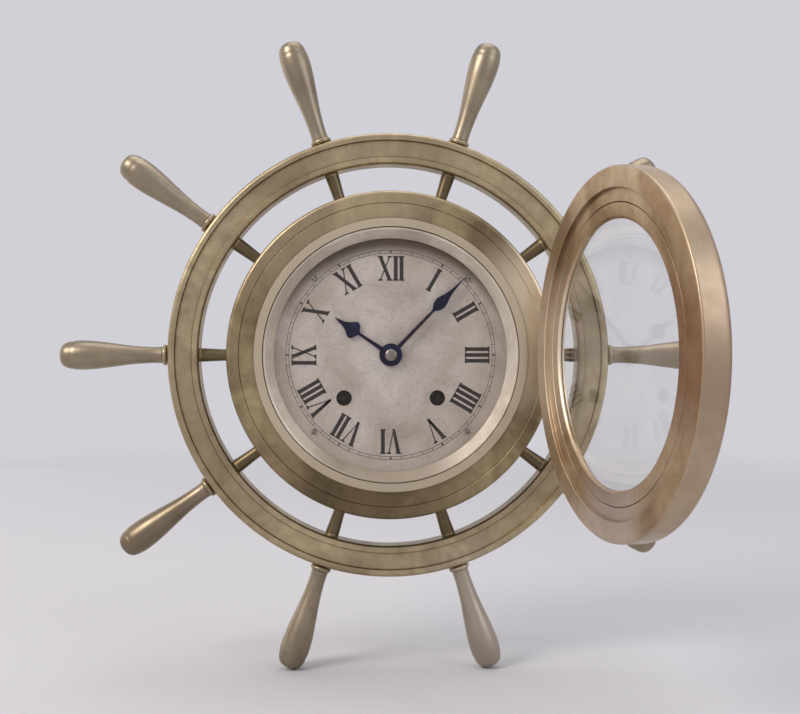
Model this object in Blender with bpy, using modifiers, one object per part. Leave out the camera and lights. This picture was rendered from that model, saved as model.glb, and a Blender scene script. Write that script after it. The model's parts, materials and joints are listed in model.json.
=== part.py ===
"""Ship's wheel clock: a brass ship's wheel with ten turned handles round a drum clock.

The clock is laid out as seen from the front: X to the right, Y up the dial and Z out
from the wall. The empty "clock" stands that layout up, so in the world the front faces
-Y, +Z is up and the wall is the plane Y = 0. The empty "movement" inside it scales the
movement and the hands across, to fit the drum. All sizes are in metres.
"""

import math

import bmesh
import bpy
from mathutils import Matrix

COLLECTION = "ship_wheel_clock"
CUTTERS = "cutters"

# Fits and making
SEAT_GAP = 0.0003
RUNNING_GAP = 0.0003
SIDE_GAP = 0.0005
OVERRUN = 0.002
MERGE_DISTANCE = 0.00001
FLAT_ANGLE = math.radians(0.2)
ROUND_STEPS = 40
RIM_STEPS = 50
SPOKE_STEPS = 10
SMALL_STEPS = 8
HOLE_SIDES = 8
KNUCKLE_STEPS = 12
DRUM_STEPS = 16

# Ship's wheel
SPOKE_COUNT = 10
RIM_OUTER_RADIUS = 0.1105
RIM_BORE_SHARE = 0.8597
HANDLE_REACH = 0.0545
RIM_DEPTH = 0.0140
RIM_EDGE = 0.0018
RIM_BEAD = 0.0032
RIM_SINK = 0.0010
WHEEL_SET_BACK = 0.0210
SPINDLE_RADIUS = 0.0034
SPINDLE_WAIST_RADIUS = 0.0029
TENON_RADIUS = 0.0024
TENON_LENGTH = 0.0015
RIM_PASS_RADIUS = 0.0030
COLLAR_RADIUS = 0.0052
COLLAR_LENGTH = 0.0028
NECK_RADIUS = 0.0040
HANDLE_RADIUS = 0.0073
# Handle outline from the collar (0) to the tip (1), and from the neck (0) to the widest (1)
HANDLE_LENGTH_SHARES = (0.06, 0.24, 0.46, 0.68, 0.84, 0.95)
HANDLE_SWELL_SHARES = (0.00, 0.14, 0.54, 0.94, 0.94, 0.24)

# Drum case
CASE_DEPTH = 0.0530
BARREL_RADIUS = 0.0715
BARREL_WALL = 0.0030
FLANGE_RISE = 0.0085
FLANGE_DEPTH = 0.0070
FLANGE_CHAMFER = 0.0018
BEZEL_INSET = 0.0030
LIP_INSET = 0.0106
LIP_HEIGHT = 0.0012
LIP_WALL = 0.0040
RECESS_DEPTH = 0.0080
DIAL_RING_WIDTH = 0.0124
DIAL_RING_DEPTH = 0.0035
BACK_THICKNESS = 0.0030
BACK_RING_WIDTH = 0.0095
BACK_RING_DEPTH = 0.0050
BACK_SCREW_INSET = 0.0075
BACK_SCREW_COUNT = 3
BACK_SCREW_START = math.radians(30.0)
SCREW_HEAD_RADIUS = 0.0028
SCREW_HEAD_DEPTH = 0.0014
SCREW_SHANK_RADIUS = 0.0013
KEYHOLE_INSET = 0.0285
KEYHOLE_HEAD_RADIUS = 0.0045
KEYHOLE_SLOT_WIDTH = 0.0044
KEYHOLE_SLOT_RISE = 0.0090

# Bezel, glass and hinge
BEZEL_DEPTH = 0.0130
BEZEL_LIP_DEPTH = 0.0012
OPENING_INSET = 0.0046
GLASS_INSET = 0.0004
GLASS_THICKNESS = 0.0020
GLASS_RING_DEPTH = 0.0016
GLASS_RING_WIDTH = 0.0065
BEZEL_BORE_GAP = 0.0016
OPENING_CHAMFER = 0.0005
# Bezel crown: shares of the band from the opening outward, and of the depth from the front
BEZEL_BAND_SHARES = (0.45, 0.68, 0.77, 0.86, 0.94, 1.00)
BEZEL_FALL_SHARES = (0.26, 0.05, 0.00, 0.02, 0.09, 0.25)
OPEN_ANGLE = math.radians(103.5)
KNUCKLE_RADIUS = 0.0025
KNUCKLE_CLEARANCE = 0.0006
PIN_RADIUS = 0.0011
PIN_OVERHANG = 0.0008
PIN_HEAD_RADIUS = 0.0016
HINGE_LENGTH = 0.0240
BEZEL_KNUCKLE_LENGTH = 0.0090
LEAF_THICKNESS = 0.0022
LEAF_GRIP = 0.0075

# Dial
DIAL_THICKNESS = 0.0010
SURROUND_WIDTH = 0.00495
DIAL_EDGE_GAP = 0.0004
SURROUND_FOOT = 0.0006
SURROUND_FACE = 0.0010
DIAL_SCREW_COUNT = 4
DIAL_SCREW_INSET = 0.00405
DIAL_SCREW_HEAD_RADIUS = 0.0014
DIAL_SCREW_HEAD_DEPTH = 0.0007
DIAL_SCREW_SHANK_RADIUS = 0.0007
DIAL_SCREW_REACH = 0.0022
WINDING_X = 0.0229
WINDING_DROP = 0.0211
WINDING_HOLE_RADIUS = 0.0038

# Hands, in clock hours and minutes as shown
SHOWN_HOURS = 10.0
SHOWN_MINUTES = 7.3
HOUR_HAND_LENGTH = 0.0330
MINUTE_HAND_LENGTH = 0.0525
HAND_THICKNESS = 0.0008
HAND_SPACE = 0.0010
HOUR_BOSS_RADIUS = 0.0056
MINUTE_BOSS_RADIUS = 0.0044
HAND_STEM_WIDTH = 0.0014
HOUR_SPADE_WIDTH = 0.0088
MINUTE_SPADE_WIDTH = 0.0056
# Spade outline along the hand (share of its length) and across (share of the half width)
SPADE_LENGTH_SHARES = (0.56, 0.60, 0.66, 0.73, 0.80, 0.88)
SPADE_WIDTH_SHARES = (0.30, 0.72, 1.00, 0.80, 0.36, 0.18)
NUT_RADIUS = 0.0030
NUT_DEPTH = 0.0020

# Movement. It is drawn at its own size, and the drum's size then scales it across.
PLATE_EDGE = 0.01052
PLATE_MARGIN = 0.0110
PLATE_THICKNESS = 0.0025
PLATE_SPACE_SHARE = 0.514
PIVOT_RADIUS = 0.0008
ARBOR_RADIUS = 0.0012
PIVOT_REACH = 0.0018
PILLAR_RADIUS = 0.0032
PILLAR_TENON_RADIUS = 0.0018
PILLAR_INSET = 0.0055
PILLAR_ANGLES = (math.radians(35.0), math.radians(145.0), math.radians(270.0))
MOVEMENT_SCREW_INSET = 0.0030
MOVEMENT_SCREW_ANGLES = (math.radians(90.0), math.radians(210.0), math.radians(330.0))
MOVEMENT_SCREW_HEAD_RADIUS = 0.0022
MOVEMENT_SCREW_HEAD_DEPTH = 0.0018
MOVEMENT_SCREW_SHANK_RADIUS = 0.0012
MOVEMENT_SCREW_REACH = 0.0018

# Wheels and pinions
BARREL_MODULE = 0.00088
BARREL_TEETH = 36
BARREL_PINION_TEETH = 8
GREAT_WHEEL_THICKNESS = 0.0020
DRUM_RADIUS = 0.0142
DRUM_WALL = 0.0012
DRUM_END_GAP = 0.0010
SPRING_THICKNESS = 0.0005
SPRING_TURNS = 4
SPRING_POINTS_PER_TURN = 12
SPRING_END_GAP = 0.0010
WINDING_ARBOR_RADIUS = 0.0024
WINDING_PIVOT_RADIUS = 0.0018
WINDING_SQUARE = 0.0026
WINDING_SQUARE_SHORT = 0.0010
RATCHET_TEETH = 16
RATCHET_RADIUS = 0.0064
RATCHET_TOOTH = 0.0010
RATCHET_THICKNESS = 0.0012
CLICK_PIVOT_DISTANCE = 0.0105
CLICK_BOSS_RADIUS = 0.0020
CLICK_TOOTH_GAP = 0.0004
CLICK_ANGLE = math.radians(35.0)
CLICK_TIP_ANGLE = math.radians(12.0)
INTERMEDIATE_MODULE = 0.00076
INTERMEDIATE_TEETH = 36
CENTRE_PINION_TEETH = 8
UPPER_WHEEL_THICKNESS = 0.0012
CENTRE_MODULE = 0.00055
CENTRE_TEETH = 48
THIRD_PINION_TEETH = 8
CENTRE_WHEEL_RISE = 0.0040
THIRD_ANGLE = math.radians(100.0)
THIRD_WHEEL_TEETH = 30
THIRD_WHEEL_MODULE = 0.00066
THIRD_WHEEL_RISE = 0.0090
TRAIN_WHEEL_THICKNESS = 0.0012
PINION_DEPTH = 0.0026
MOTION_MODULE = 0.00060
CANNON_TEETH = 10
MINUTE_WHEEL_TEETH = 30
MINUTE_PINION_TEETH = 8
HOUR_TEETH = 32
MOTION_ANGLE = math.radians(60.0)
MOTION_WHEEL_THICKNESS = 0.0010
CENTRE_ARBOR_RADIUS = 0.0011
CANNON_PIPE_RADIUS = 0.0021
HOUR_PIPE_RADIUS = 0.0033
ADDENDUM_SHARE = 1.00
DEDENDUM_SHARE = 1.25
TOOTH_TIP_SHARE = 0.10
TOOTH_ROOT_SHARE = 0.22
LEAF_ADDENDUM_SHARE = 0.80
LEAF_DEDENDUM_SHARE = 1.30
LEAF_TIP_SHARE = 0.08
LEAF_ROOT_SHARE = 0.17

# Escapement and strike
PLATFORM_HEIGHT = 0.0370
PLATFORM_WIDTH = 0.0240
PLATFORM_LENGTH = 0.0200
PLATFORM_THICKNESS = 0.0026
COCK_WIDTH = 0.0060
COCK_THICKNESS = 0.0016
BALANCE_RADIUS = 0.0082
BALANCE_RIM = 0.0012
BALANCE_THICKNESS = 0.0010
BALANCE_ARM_WIDTH = 0.0012
BALANCE_SPACE = 0.0018
BALANCE_STAFF_RADIUS = 0.0006
STAR_TEETH = 8
STAR_RADIUS = 0.0110
STAR_ROOT_SHARE = 0.72
STAR_TIP_HALF_SHARE = 0.08
STAR_FOOT_HALF_SHARE = 0.30
STRIKE_ARBOR_ANGLE = math.radians(110.0)
BELL_RADIUS = 0.0270
BELL_DROP = 0.0080
BELL_WALL = 0.0012
BELL_MOUTH_RISE = 0.0060
BELL_END_GAP = 0.0007
# Bell outline: share of the radius, and share of the depth above the mouth
BELL_RADIUS_SHARES = (1.00, 0.97, 0.82, 0.52)
BELL_RISE_SHARES = (0.00, 0.38, 0.76, 0.96)
POST_RADIUS = 0.0045
POST_NECK_RADIUS = 0.0025
POST_HEAD_RADIUS = 0.0040
POST_HEAD_DEPTH = 0.0010
HAMMER_HEAD_RADIUS = 0.0040
HAMMER_HEAD_SHARE = 0.6
HAMMER_STAND_OFF = 0.0012
HAMMER_ARM_WIDTH = 0.0026
HAMMER_ARM_THICKNESS = 0.0020
HAMMER_PIVOT_X = -0.0440
HAMMER_PIVOT_Y = 0.0080
HAMMER_TAIL_WIDTH = 0.0020
HAMMER_TAIL_GAP = 0.0010

# Radii that follow from the sizes above
RIM_INNER_RADIUS = RIM_OUTER_RADIUS * RIM_BORE_SHARE
TIP_RADIUS = RIM_OUTER_RADIUS + HANDLE_REACH
FLANGE_RADIUS = BARREL_RADIUS + FLANGE_RISE
BEZEL_RADIUS = FLANGE_RADIUS - BEZEL_INSET
LIP_RADIUS = BEZEL_RADIUS - LIP_INSET
RECESS_RADIUS = LIP_RADIUS - LIP_WALL
DIAL_RING_BORE = RECESS_RADIUS - DIAL_RING_WIDTH
BACK_RING_BORE = BARREL_RADIUS - BARREL_WALL - BACK_RING_WIDTH
BACK_SCREW_RADIUS = BARREL_RADIUS - BACK_SCREW_INSET
KEYHOLE_HEIGHT = BARREL_RADIUS - KEYHOLE_INSET
OPENING_RADIUS = RECESS_RADIUS - OPENING_INSET
GLASS_RADIUS = RECESS_RADIUS - GLASS_INSET
DIAL_VISIBLE_RADIUS = RECESS_RADIUS - SEAT_GAP - SURROUND_WIDTH
DIAL_SCREW_CIRCLE = DIAL_VISIBLE_RADIUS - DIAL_SCREW_INSET
PLATE_RADIUS = (math.hypot(WINDING_X, WINDING_DROP) + BARREL_TEETH * BARREL_MODULE / 2
                + PLATE_EDGE)
PILLAR_CIRCLE = PLATE_RADIUS - PILLAR_INSET
MOVEMENT_SCREW_CIRCLE = PLATE_RADIUS - MOVEMENT_SCREW_INSET
MOVEMENT_SCALE = (BARREL_RADIUS - BARREL_WALL - PLATE_MARGIN) / PLATE_RADIUS

# Levels out from the wall that follow from the sizes above
WHEEL_PLANE = CASE_DEPTH - WHEEL_SET_BACK
BARREL_BACK = BACK_THICKNESS + SEAT_GAP
RING_FRONT = CASE_DEPTH - RECESS_DEPTH
RING_BACK = RING_FRONT - DIAL_RING_DEPTH
DIAL_BACK = RING_FRONT + SEAT_GAP
DIAL_FRONT = DIAL_BACK + DIAL_THICKNESS
FRONT_PLATE_FRONT = RING_BACK - SEAT_GAP
FRONT_PLATE_BACK = FRONT_PLATE_FRONT - PLATE_THICKNESS
PLATE_SPACE = (FRONT_PLATE_BACK - BARREL_BACK) * PLATE_SPACE_SHARE
BACK_PLATE_FRONT = FRONT_PLATE_BACK - PLATE_SPACE
BACK_PLATE_BACK = BACK_PLATE_FRONT - PLATE_THICKNESS
GREAT_WHEEL_BACK = BACK_PLATE_FRONT + SIDE_GAP
GREAT_WHEEL_FRONT = GREAT_WHEEL_BACK + GREAT_WHEEL_THICKNESS
UPPER_WHEEL_FRONT = FRONT_PLATE_BACK - SIDE_GAP
UPPER_WHEEL_BACK = UPPER_WHEEL_FRONT - UPPER_WHEEL_THICKNESS
DRUM_FRONT = UPPER_WHEEL_BACK - DRUM_END_GAP
BELL_CROWN = BACK_PLATE_BACK - BELL_END_GAP - POST_HEAD_DEPTH - SEAT_GAP
BELL_DEPTH = BELL_CROWN - BELL_MOUTH_RISE
MINUTE_WHEEL_BACK = FRONT_PLATE_FRONT + SIDE_GAP
MINUTE_WHEEL_FRONT = MINUTE_WHEEL_BACK + MOTION_WHEEL_THICKNESS
HOUR_WHEEL_BACK = MINUTE_WHEEL_FRONT + SIDE_GAP
HOUR_WHEEL_FRONT = HOUR_WHEEL_BACK + MOTION_WHEEL_THICKNESS
HOUR_HAND_BACK = DIAL_FRONT + HAND_SPACE
HOUR_HAND_FRONT = HOUR_HAND_BACK + HAND_THICKNESS
MINUTE_HAND_BACK = HOUR_HAND_FRONT + HAND_SPACE
MINUTE_HAND_FRONT = MINUTE_HAND_BACK + HAND_THICKNESS
NUT_BACK = MINUTE_HAND_FRONT + SEAT_GAP
HINGE_X = BEZEL_RADIUS + KNUCKLE_CLEARANCE + KNUCKLE_RADIUS
HINGE_Z = CASE_DEPTH + SEAT_GAP + BEZEL_DEPTH

# Arbor places, as (x, y) on the dial's layout
TIME_BARREL_AT = (WINDING_X, -WINDING_DROP)
STRIKE_BARREL_AT = (-WINDING_X, -WINDING_DROP)
BELL_AT = (0.0, -BELL_DROP)
BALANCE_AT = (0.0, PLATFORM_HEIGHT)
HAMMER_AT = (HAMMER_PIVOT_X, HAMMER_PIVOT_Y)


def polar(radius, angle):
    """Return the point at this radius and angle from the X axis."""
    return (radius * math.cos(angle), radius * math.sin(angle))


def offset(start, step):
    """Return the point start moved by step."""
    return (start[0] + step[0], start[1] + step[1])


def bearing(start, end):
    """Return the angle of the line from start to end."""
    return math.atan2(end[1] - start[1], end[0] - start[0])


def distance(start, end):
    """Return the distance from start to end."""
    return math.hypot(end[0] - start[0], end[1] - start[1])


def centre_distance(teeth, leaves, module):
    """Return how far apart a wheel and its pinion stand."""
    return (teeth + leaves) * module / 2


def meeting_point(first, first_reach, second, second_reach):
    """Return the point at both reaches that lies to the right of the line first to second."""
    apart = distance(first, second)
    along = (first_reach ** 2 - second_reach ** 2 + apart ** 2) / (2 * apart)
    aside = math.sqrt(first_reach ** 2 - along ** 2)
    angle = bearing(first, second)
    foot = offset(first, polar(along, angle))
    return offset(foot, polar(aside, angle - math.pi / 2))


INTERMEDIATE_AT = meeting_point(
    TIME_BARREL_AT, centre_distance(BARREL_TEETH, BARREL_PINION_TEETH, BARREL_MODULE),
    (0.0, 0.0), centre_distance(INTERMEDIATE_TEETH, CENTRE_PINION_TEETH, INTERMEDIATE_MODULE))
THIRD_AT = polar(centre_distance(CENTRE_TEETH, THIRD_PINION_TEETH, CENTRE_MODULE), THIRD_ANGLE)
MOTION_DISTANCE = centre_distance(MINUTE_WHEEL_TEETH, CANNON_TEETH, MOTION_MODULE)
HOUR_MODULE = 2 * MOTION_DISTANCE / (HOUR_TEETH + MINUTE_PINION_TEETH)
MOTION_AT = polar(MOTION_DISTANCE, MOTION_ANGLE)
STAR_AT = offset(STRIKE_BARREL_AT, polar(
    centre_distance(BARREL_TEETH, BARREL_PINION_TEETH, BARREL_MODULE), STRIKE_ARBOR_ANGLE))
HAMMER_HEAD_AT = offset(BELL_AT, (-(BELL_RADIUS + HAMMER_STAND_OFF + HAMMER_HEAD_RADIUS), 0.0))


def clear_scene():
    """Remove every object, so that the file holds the clock alone."""
    for item in list(bpy.data.objects):
        bpy.data.objects.remove(item)


def new_collection(name):
    """Make a collection in the scene."""
    collection = bpy.data.collections.new(name)
    bpy.context.scene.collection.children.link(collection)
    return collection


def make_finish(name, colour, roughness, metallic, transmission=0.0):
    """Make a Principled material."""
    finish = bpy.data.materials.new(name)
    finish.use_nodes = True
    shader = finish.node_tree.nodes["Principled BSDF"]
    shader.inputs["Base Color"].default_value = (*colour, 1.0)
    shader.inputs["Roughness"].default_value = roughness
    shader.inputs["Metallic"].default_value = metallic
    shader.inputs["Transmission Weight"].default_value = transmission
    return finish


def add_object(name, data, finish, at=(0.0, 0.0), parent=None, cutter=False):
    """Link an object under its frame, as a piece or as a cutter."""
    item = bpy.data.objects.new(name, data)
    item.location = (at[0], at[1], 0.0)
    item.parent = parent or bpy.data.objects["clock"]
    if cutter:
        item.hide_render = True
        item.display_type = "WIRE"
        bpy.data.collections[CUTTERS].objects.link(item)
    else:
        bpy.data.collections[COLLECTION].objects.link(item)
    if finish:
        own = finish.copy()
        own.name = name
        data.materials.append(own)
    return item


def add_empty(name, location, rotation, parent=None):
    """Add an empty that carries the pieces of one frame."""
    empty = bpy.data.objects.new(name, None)
    empty.location = location
    empty.rotation_euler = rotation
    empty.parent = parent
    bpy.data.collections[COLLECTION].objects.link(empty)
    return empty


def movement():
    """Return the frame that the movement, the hands and their holes are drawn in."""
    return bpy.data.objects["movement"]


def add_screw(item, steps):
    """Turn an object's profile round its Z axis."""
    turn = item.modifiers.new("turned", "SCREW")
    turn.axis = "Z"
    turn.steps = steps
    turn.render_steps = steps
    turn.use_merge_vertices = True
    turn.merge_threshold = MERGE_DISTANCE


def turned(name, profile, finish, at=(0.0, 0.0), steps=ROUND_STEPS, parent=None, cutter=False):
    """Make a turned piece from (radius, level) points, down its outer side first."""
    mesh = bpy.data.meshes.new(name)
    points = [(radius, 0.0, level) for radius, level in profile]
    edges = [(index, index + 1) for index in range(len(points) - 1)]
    if profile[0][0] > 0.0:
        edges.append((len(points) - 1, 0))
    mesh.from_pydata(points, edges, [])
    item = add_object(name, mesh, finish, at, parent, cutter)
    add_screw(item, steps)
    return item


def disc_profile(radius, low, high):
    """Return the profile of a plain disc or rod."""
    return [(0.0, high), (radius, high), (radius, low), (0.0, low)]


def ring_profile(outer, inner, low, high):
    """Return the profile of a plain ring."""
    return [(outer, high), (outer, low), (inner, low), (inner, high)]


def stepped_rod_profile(steps):
    """Return the profile of a rod from (radius, low, high) steps, the highest first."""
    profile = [(0.0, steps[0][2])]
    for radius, low, high in steps:
        profile.append((radius, high))
        profile.append((radius, low))
    profile.append((0.0, steps[-1][1]))
    return profile


def boolean(item, other, operation):
    """Cut or join an object with another one."""
    step = item.modifiers.new(other.name, "BOOLEAN")
    step.operation = operation
    step.solver = "EXACT"
    step.object = other


def drill(item, holes, name="holes", at=(0.0, 0.0), parent=None, sides=HOLE_SIDES):
    """Cut round holes, each (x, y, low, high, radius), along Z."""
    shape = bmesh.new()
    for x, y, low, high, radius in holes:
        place = Matrix.Translation((x, y, (low + high) / 2))
        bmesh.ops.create_cone(shape, cap_ends=True, segments=sides, radius1=radius,
                              radius2=radius, depth=high - low, matrix=place)
    mesh = bpy.data.meshes.new(name)
    shape.to_mesh(mesh)
    shape.free()
    cutter = add_object(item.name + "_" + name, mesh, None, at, parent or item.parent,
                        cutter=True)
    boolean(item, cutter, "DIFFERENCE")


def drill_radially(item, inner, outer, radius, level):
    """Cut the ten spoke holes between two distances from the clock's centre."""
    shape = bmesh.new()
    for index in range(SPOKE_COUNT):
        turn = Matrix.Rotation(spoke_angle(index), 4, "Z")
        lie = Matrix.Rotation(math.pi / 2, 4, "Y")
        place = turn @ Matrix.Translation(((inner + outer) / 2, 0.0, level)) @ lie
        bmesh.ops.create_cone(shape, cap_ends=True, segments=SPOKE_STEPS, radius1=radius,
                              radius2=radius, depth=outer - inner, matrix=place)
    mesh = bpy.data.meshes.new(item.name + "_spoke_holes")
    shape.to_mesh(mesh)
    shape.free()
    cutter = add_object(item.name + "_spoke_holes", mesh, None, cutter=True)
    boolean(item, cutter, "DIFFERENCE")


def block(name, low_corner, high_corner, finish, at=(0.0, 0.0), parent=None, cutter=False):
    """Make a box between two corners."""
    shape = bmesh.new()
    middle = [(low + high) / 2 for low, high in zip(low_corner, high_corner)]
    size = [high - low for low, high in zip(low_corner, high_corner)]
    place = Matrix.Translation(middle) @ Matrix.Diagonal((*size, 1.0))
    bmesh.ops.create_cube(shape, size=1.0, matrix=place)
    mesh = bpy.data.meshes.new(name)
    shape.to_mesh(mesh)
    shape.free()
    return add_object(name, mesh, finish, at, parent, cutter)


def flat_solid(name, outlines, low, high, finish, at=(0.0, 0.0), parent=None, cutter=False):
    """Make a flat piece between two levels; outlines after the first are its holes."""
    curve = bpy.data.curves.new(name + "_outline", "CURVE")
    curve.dimensions = "2D"
    curve.fill_mode = "BOTH"
    curve.extrude = (high - low) / 2
    for outline in outlines:
        spline = curve.splines.new("POLY")
        spline.points.add(len(outline) - 1)
        spline.use_cyclic_u = True
        for point, (x, y) in zip(spline.points, outline):
            point.co = (x, y, 0.0, 1.0)
    drawn = bpy.data.objects.new(name + "_outline", curve)
    bpy.data.collections[CUTTERS].objects.link(drawn)
    bpy.context.view_layer.update()
    seen = drawn.evaluated_get(bpy.context.evaluated_depsgraph_get())
    mesh = bpy.data.meshes.new_from_object(seen)
    bpy.data.objects.remove(drawn)
    shape = bmesh.new()
    shape.from_mesh(mesh)
    bmesh.ops.remove_doubles(shape, verts=shape.verts, dist=MERGE_DISTANCE)
    bmesh.ops.dissolve_limit(shape, angle_limit=FLAT_ANGLE, verts=shape.verts, edges=shape.edges)
    bmesh.ops.translate(shape, verts=shape.verts, vec=(0.0, 0.0, (low + high) / 2))
    shape.to_mesh(mesh)
    shape.free()
    mesh.name = name
    mesh.materials.clear()
    return add_object(name, mesh, finish, at, parent, cutter)


def circle(radius, centre=(0.0, 0.0), sides=HOLE_SIDES):
    """Return a round outline."""
    turns = [2 * math.pi * index / sides for index in range(sides)]
    return [offset(centre, polar(radius, turn)) for turn in turns]


def toothed(teeth, root, tip, root_share, tip_share, phase):
    """Return a toothed outline; the shares are half widths as parts of the tooth spacing."""
    spacing = 2 * math.pi / teeth
    outline = []
    for index in range(teeth):
        middle = phase + index * spacing
        outline.append(polar(root, middle - root_share * spacing))
        outline.append(polar(tip, middle - tip_share * spacing))
        outline.append(polar(tip, middle + tip_share * spacing))
        outline.append(polar(root, middle + root_share * spacing))
    return outline


def wheel_outline(teeth, module, phase=0.0):
    """Return the outline of a brass wheel."""
    pitch = teeth * module / 2
    return toothed(teeth, pitch - DEDENDUM_SHARE * module, pitch + ADDENDUM_SHARE * module,
                   TOOTH_ROOT_SHARE, TOOTH_TIP_SHARE, phase)


def pinion_outline(leaves, module, phase=0.0):
    """Return the outline of a steel pinion."""
    pitch = leaves * module / 2
    return toothed(leaves, pitch - LEAF_DEDENDUM_SHARE * module,
                   pitch + LEAF_ADDENDUM_SHARE * module, LEAF_ROOT_SHARE, LEAF_TIP_SHARE, phase)


def meshing_phase(first_at, first_teeth, first_phase, second_at, second_teeth):
    """Return the second gear's phase that puts its gaps on the first gear's teeth."""
    angle = bearing(first_at, second_at)
    gap = math.pi - math.pi / second_teeth
    return angle + gap + (angle - first_phase) * first_teeth / second_teeth


def arbor(name, at, finish):
    """Make a plain arbor with a pivot in each plate."""
    return turned(name, stepped_rod_profile([
        (PIVOT_RADIUS, FRONT_PLATE_BACK - RUNNING_GAP, FRONT_PLATE_BACK + PIVOT_REACH),
        (ARBOR_RADIUS, BACK_PLATE_FRONT + RUNNING_GAP, FRONT_PLATE_BACK - RUNNING_GAP),
        (PIVOT_RADIUS, BACK_PLATE_FRONT - PIVOT_REACH, BACK_PLATE_FRONT + RUNNING_GAP),
    ]), finish, at, SMALL_STEPS, movement())


def fuse(item, outlines, low, high):
    """Join flat toothed or plain outlines to a turned piece."""
    part = flat_solid(item.name + "_" + str(len(item.modifiers)), outlines, low, high, None,
                      tuple(item.location[:2]), item.parent, cutter=True)
    boolean(item, part, "UNION")


def spoke_angle(index):
    """Return a spoke's angle; the first one points to the right."""
    return 2 * math.pi * index / SPOKE_COUNT


def spoke_profile():
    """Return the profile of a turned spoke and handle, tip first, along its own length."""
    collar_foot = RIM_OUTER_RADIUS + SEAT_GAP
    collar_end = collar_foot + COLLAR_LENGTH
    handle_length = TIP_RADIUS - collar_end
    profile = [(0.0, TIP_RADIUS)]
    for along, swell in reversed(list(zip(HANDLE_LENGTH_SHARES, HANDLE_SWELL_SHARES))):
        radius = NECK_RADIUS + swell * (HANDLE_RADIUS - NECK_RADIUS)
        profile.append((radius, collar_end + along * handle_length))
    profile.append((COLLAR_RADIUS, collar_end))
    profile.append((COLLAR_RADIUS, collar_foot))
    profile.append((RIM_PASS_RADIUS, collar_foot))
    spindle_end = RIM_INNER_RADIUS - SEAT_GAP
    spindle_start = BARREL_RADIUS + SEAT_GAP
    profile.append((RIM_PASS_RADIUS, spindle_end))
    profile.append((SPINDLE_RADIUS, spindle_end))
    profile.append((SPINDLE_WAIST_RADIUS, (spindle_end + spindle_start) / 2))
    profile.append((SPINDLE_RADIUS, spindle_start))
    profile.append((TENON_RADIUS, spindle_start))
    profile.append((TENON_RADIUS, BARREL_RADIUS - TENON_LENGTH))
    profile.append((0.0, BARREL_RADIUS - TENON_LENGTH))
    return profile


def make_wheel(brass):
    """Make the rim and the ten turned spokes that carry it on the case."""
    front = WHEEL_PLANE + RIM_DEPTH / 2
    back = WHEEL_PLANE - RIM_DEPTH / 2
    rim = turned("wheel_rim", [
        (RIM_OUTER_RADIUS - RIM_EDGE, front),
        (RIM_OUTER_RADIUS, front - RIM_EDGE),
        (RIM_OUTER_RADIUS, back + RIM_EDGE),
        (RIM_OUTER_RADIUS - RIM_EDGE, back),
        (RIM_INNER_RADIUS + RIM_EDGE, back),
        (RIM_INNER_RADIUS, back + RIM_EDGE),
        (RIM_INNER_RADIUS, front - RIM_EDGE),
        (RIM_INNER_RADIUS + RIM_EDGE, front),
        (RIM_INNER_RADIUS + RIM_BEAD, front),
        (RIM_INNER_RADIUS + RIM_BEAD + RIM_SINK, front - RIM_SINK),
        (RIM_OUTER_RADIUS - RIM_BEAD - RIM_SINK, front - RIM_SINK),
        (RIM_OUTER_RADIUS - RIM_BEAD, front),
    ], brass, steps=RIM_STEPS)
    drill_radially(rim, RIM_INNER_RADIUS - OVERRUN, RIM_OUTER_RADIUS + OVERRUN,
                   RIM_PASS_RADIUS + SEAT_GAP, WHEEL_PLANE)
    for index in range(SPOKE_COUNT):
        spoke = turned(f"spoke_{index + 1:02d}", spoke_profile(), brass, steps=SPOKE_STEPS)
        spoke.location = (0.0, 0.0, WHEEL_PLANE)
        spoke.rotation_euler = (0.0, math.pi / 2, spoke_angle(index))


def back_screw_places():
    """Return where the back's screws stand."""
    turns = [BACK_SCREW_START + 2 * math.pi * index / BACK_SCREW_COUNT
             for index in range(BACK_SCREW_COUNT)]
    return [polar(BACK_SCREW_RADIUS, turn) for turn in turns]


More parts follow.
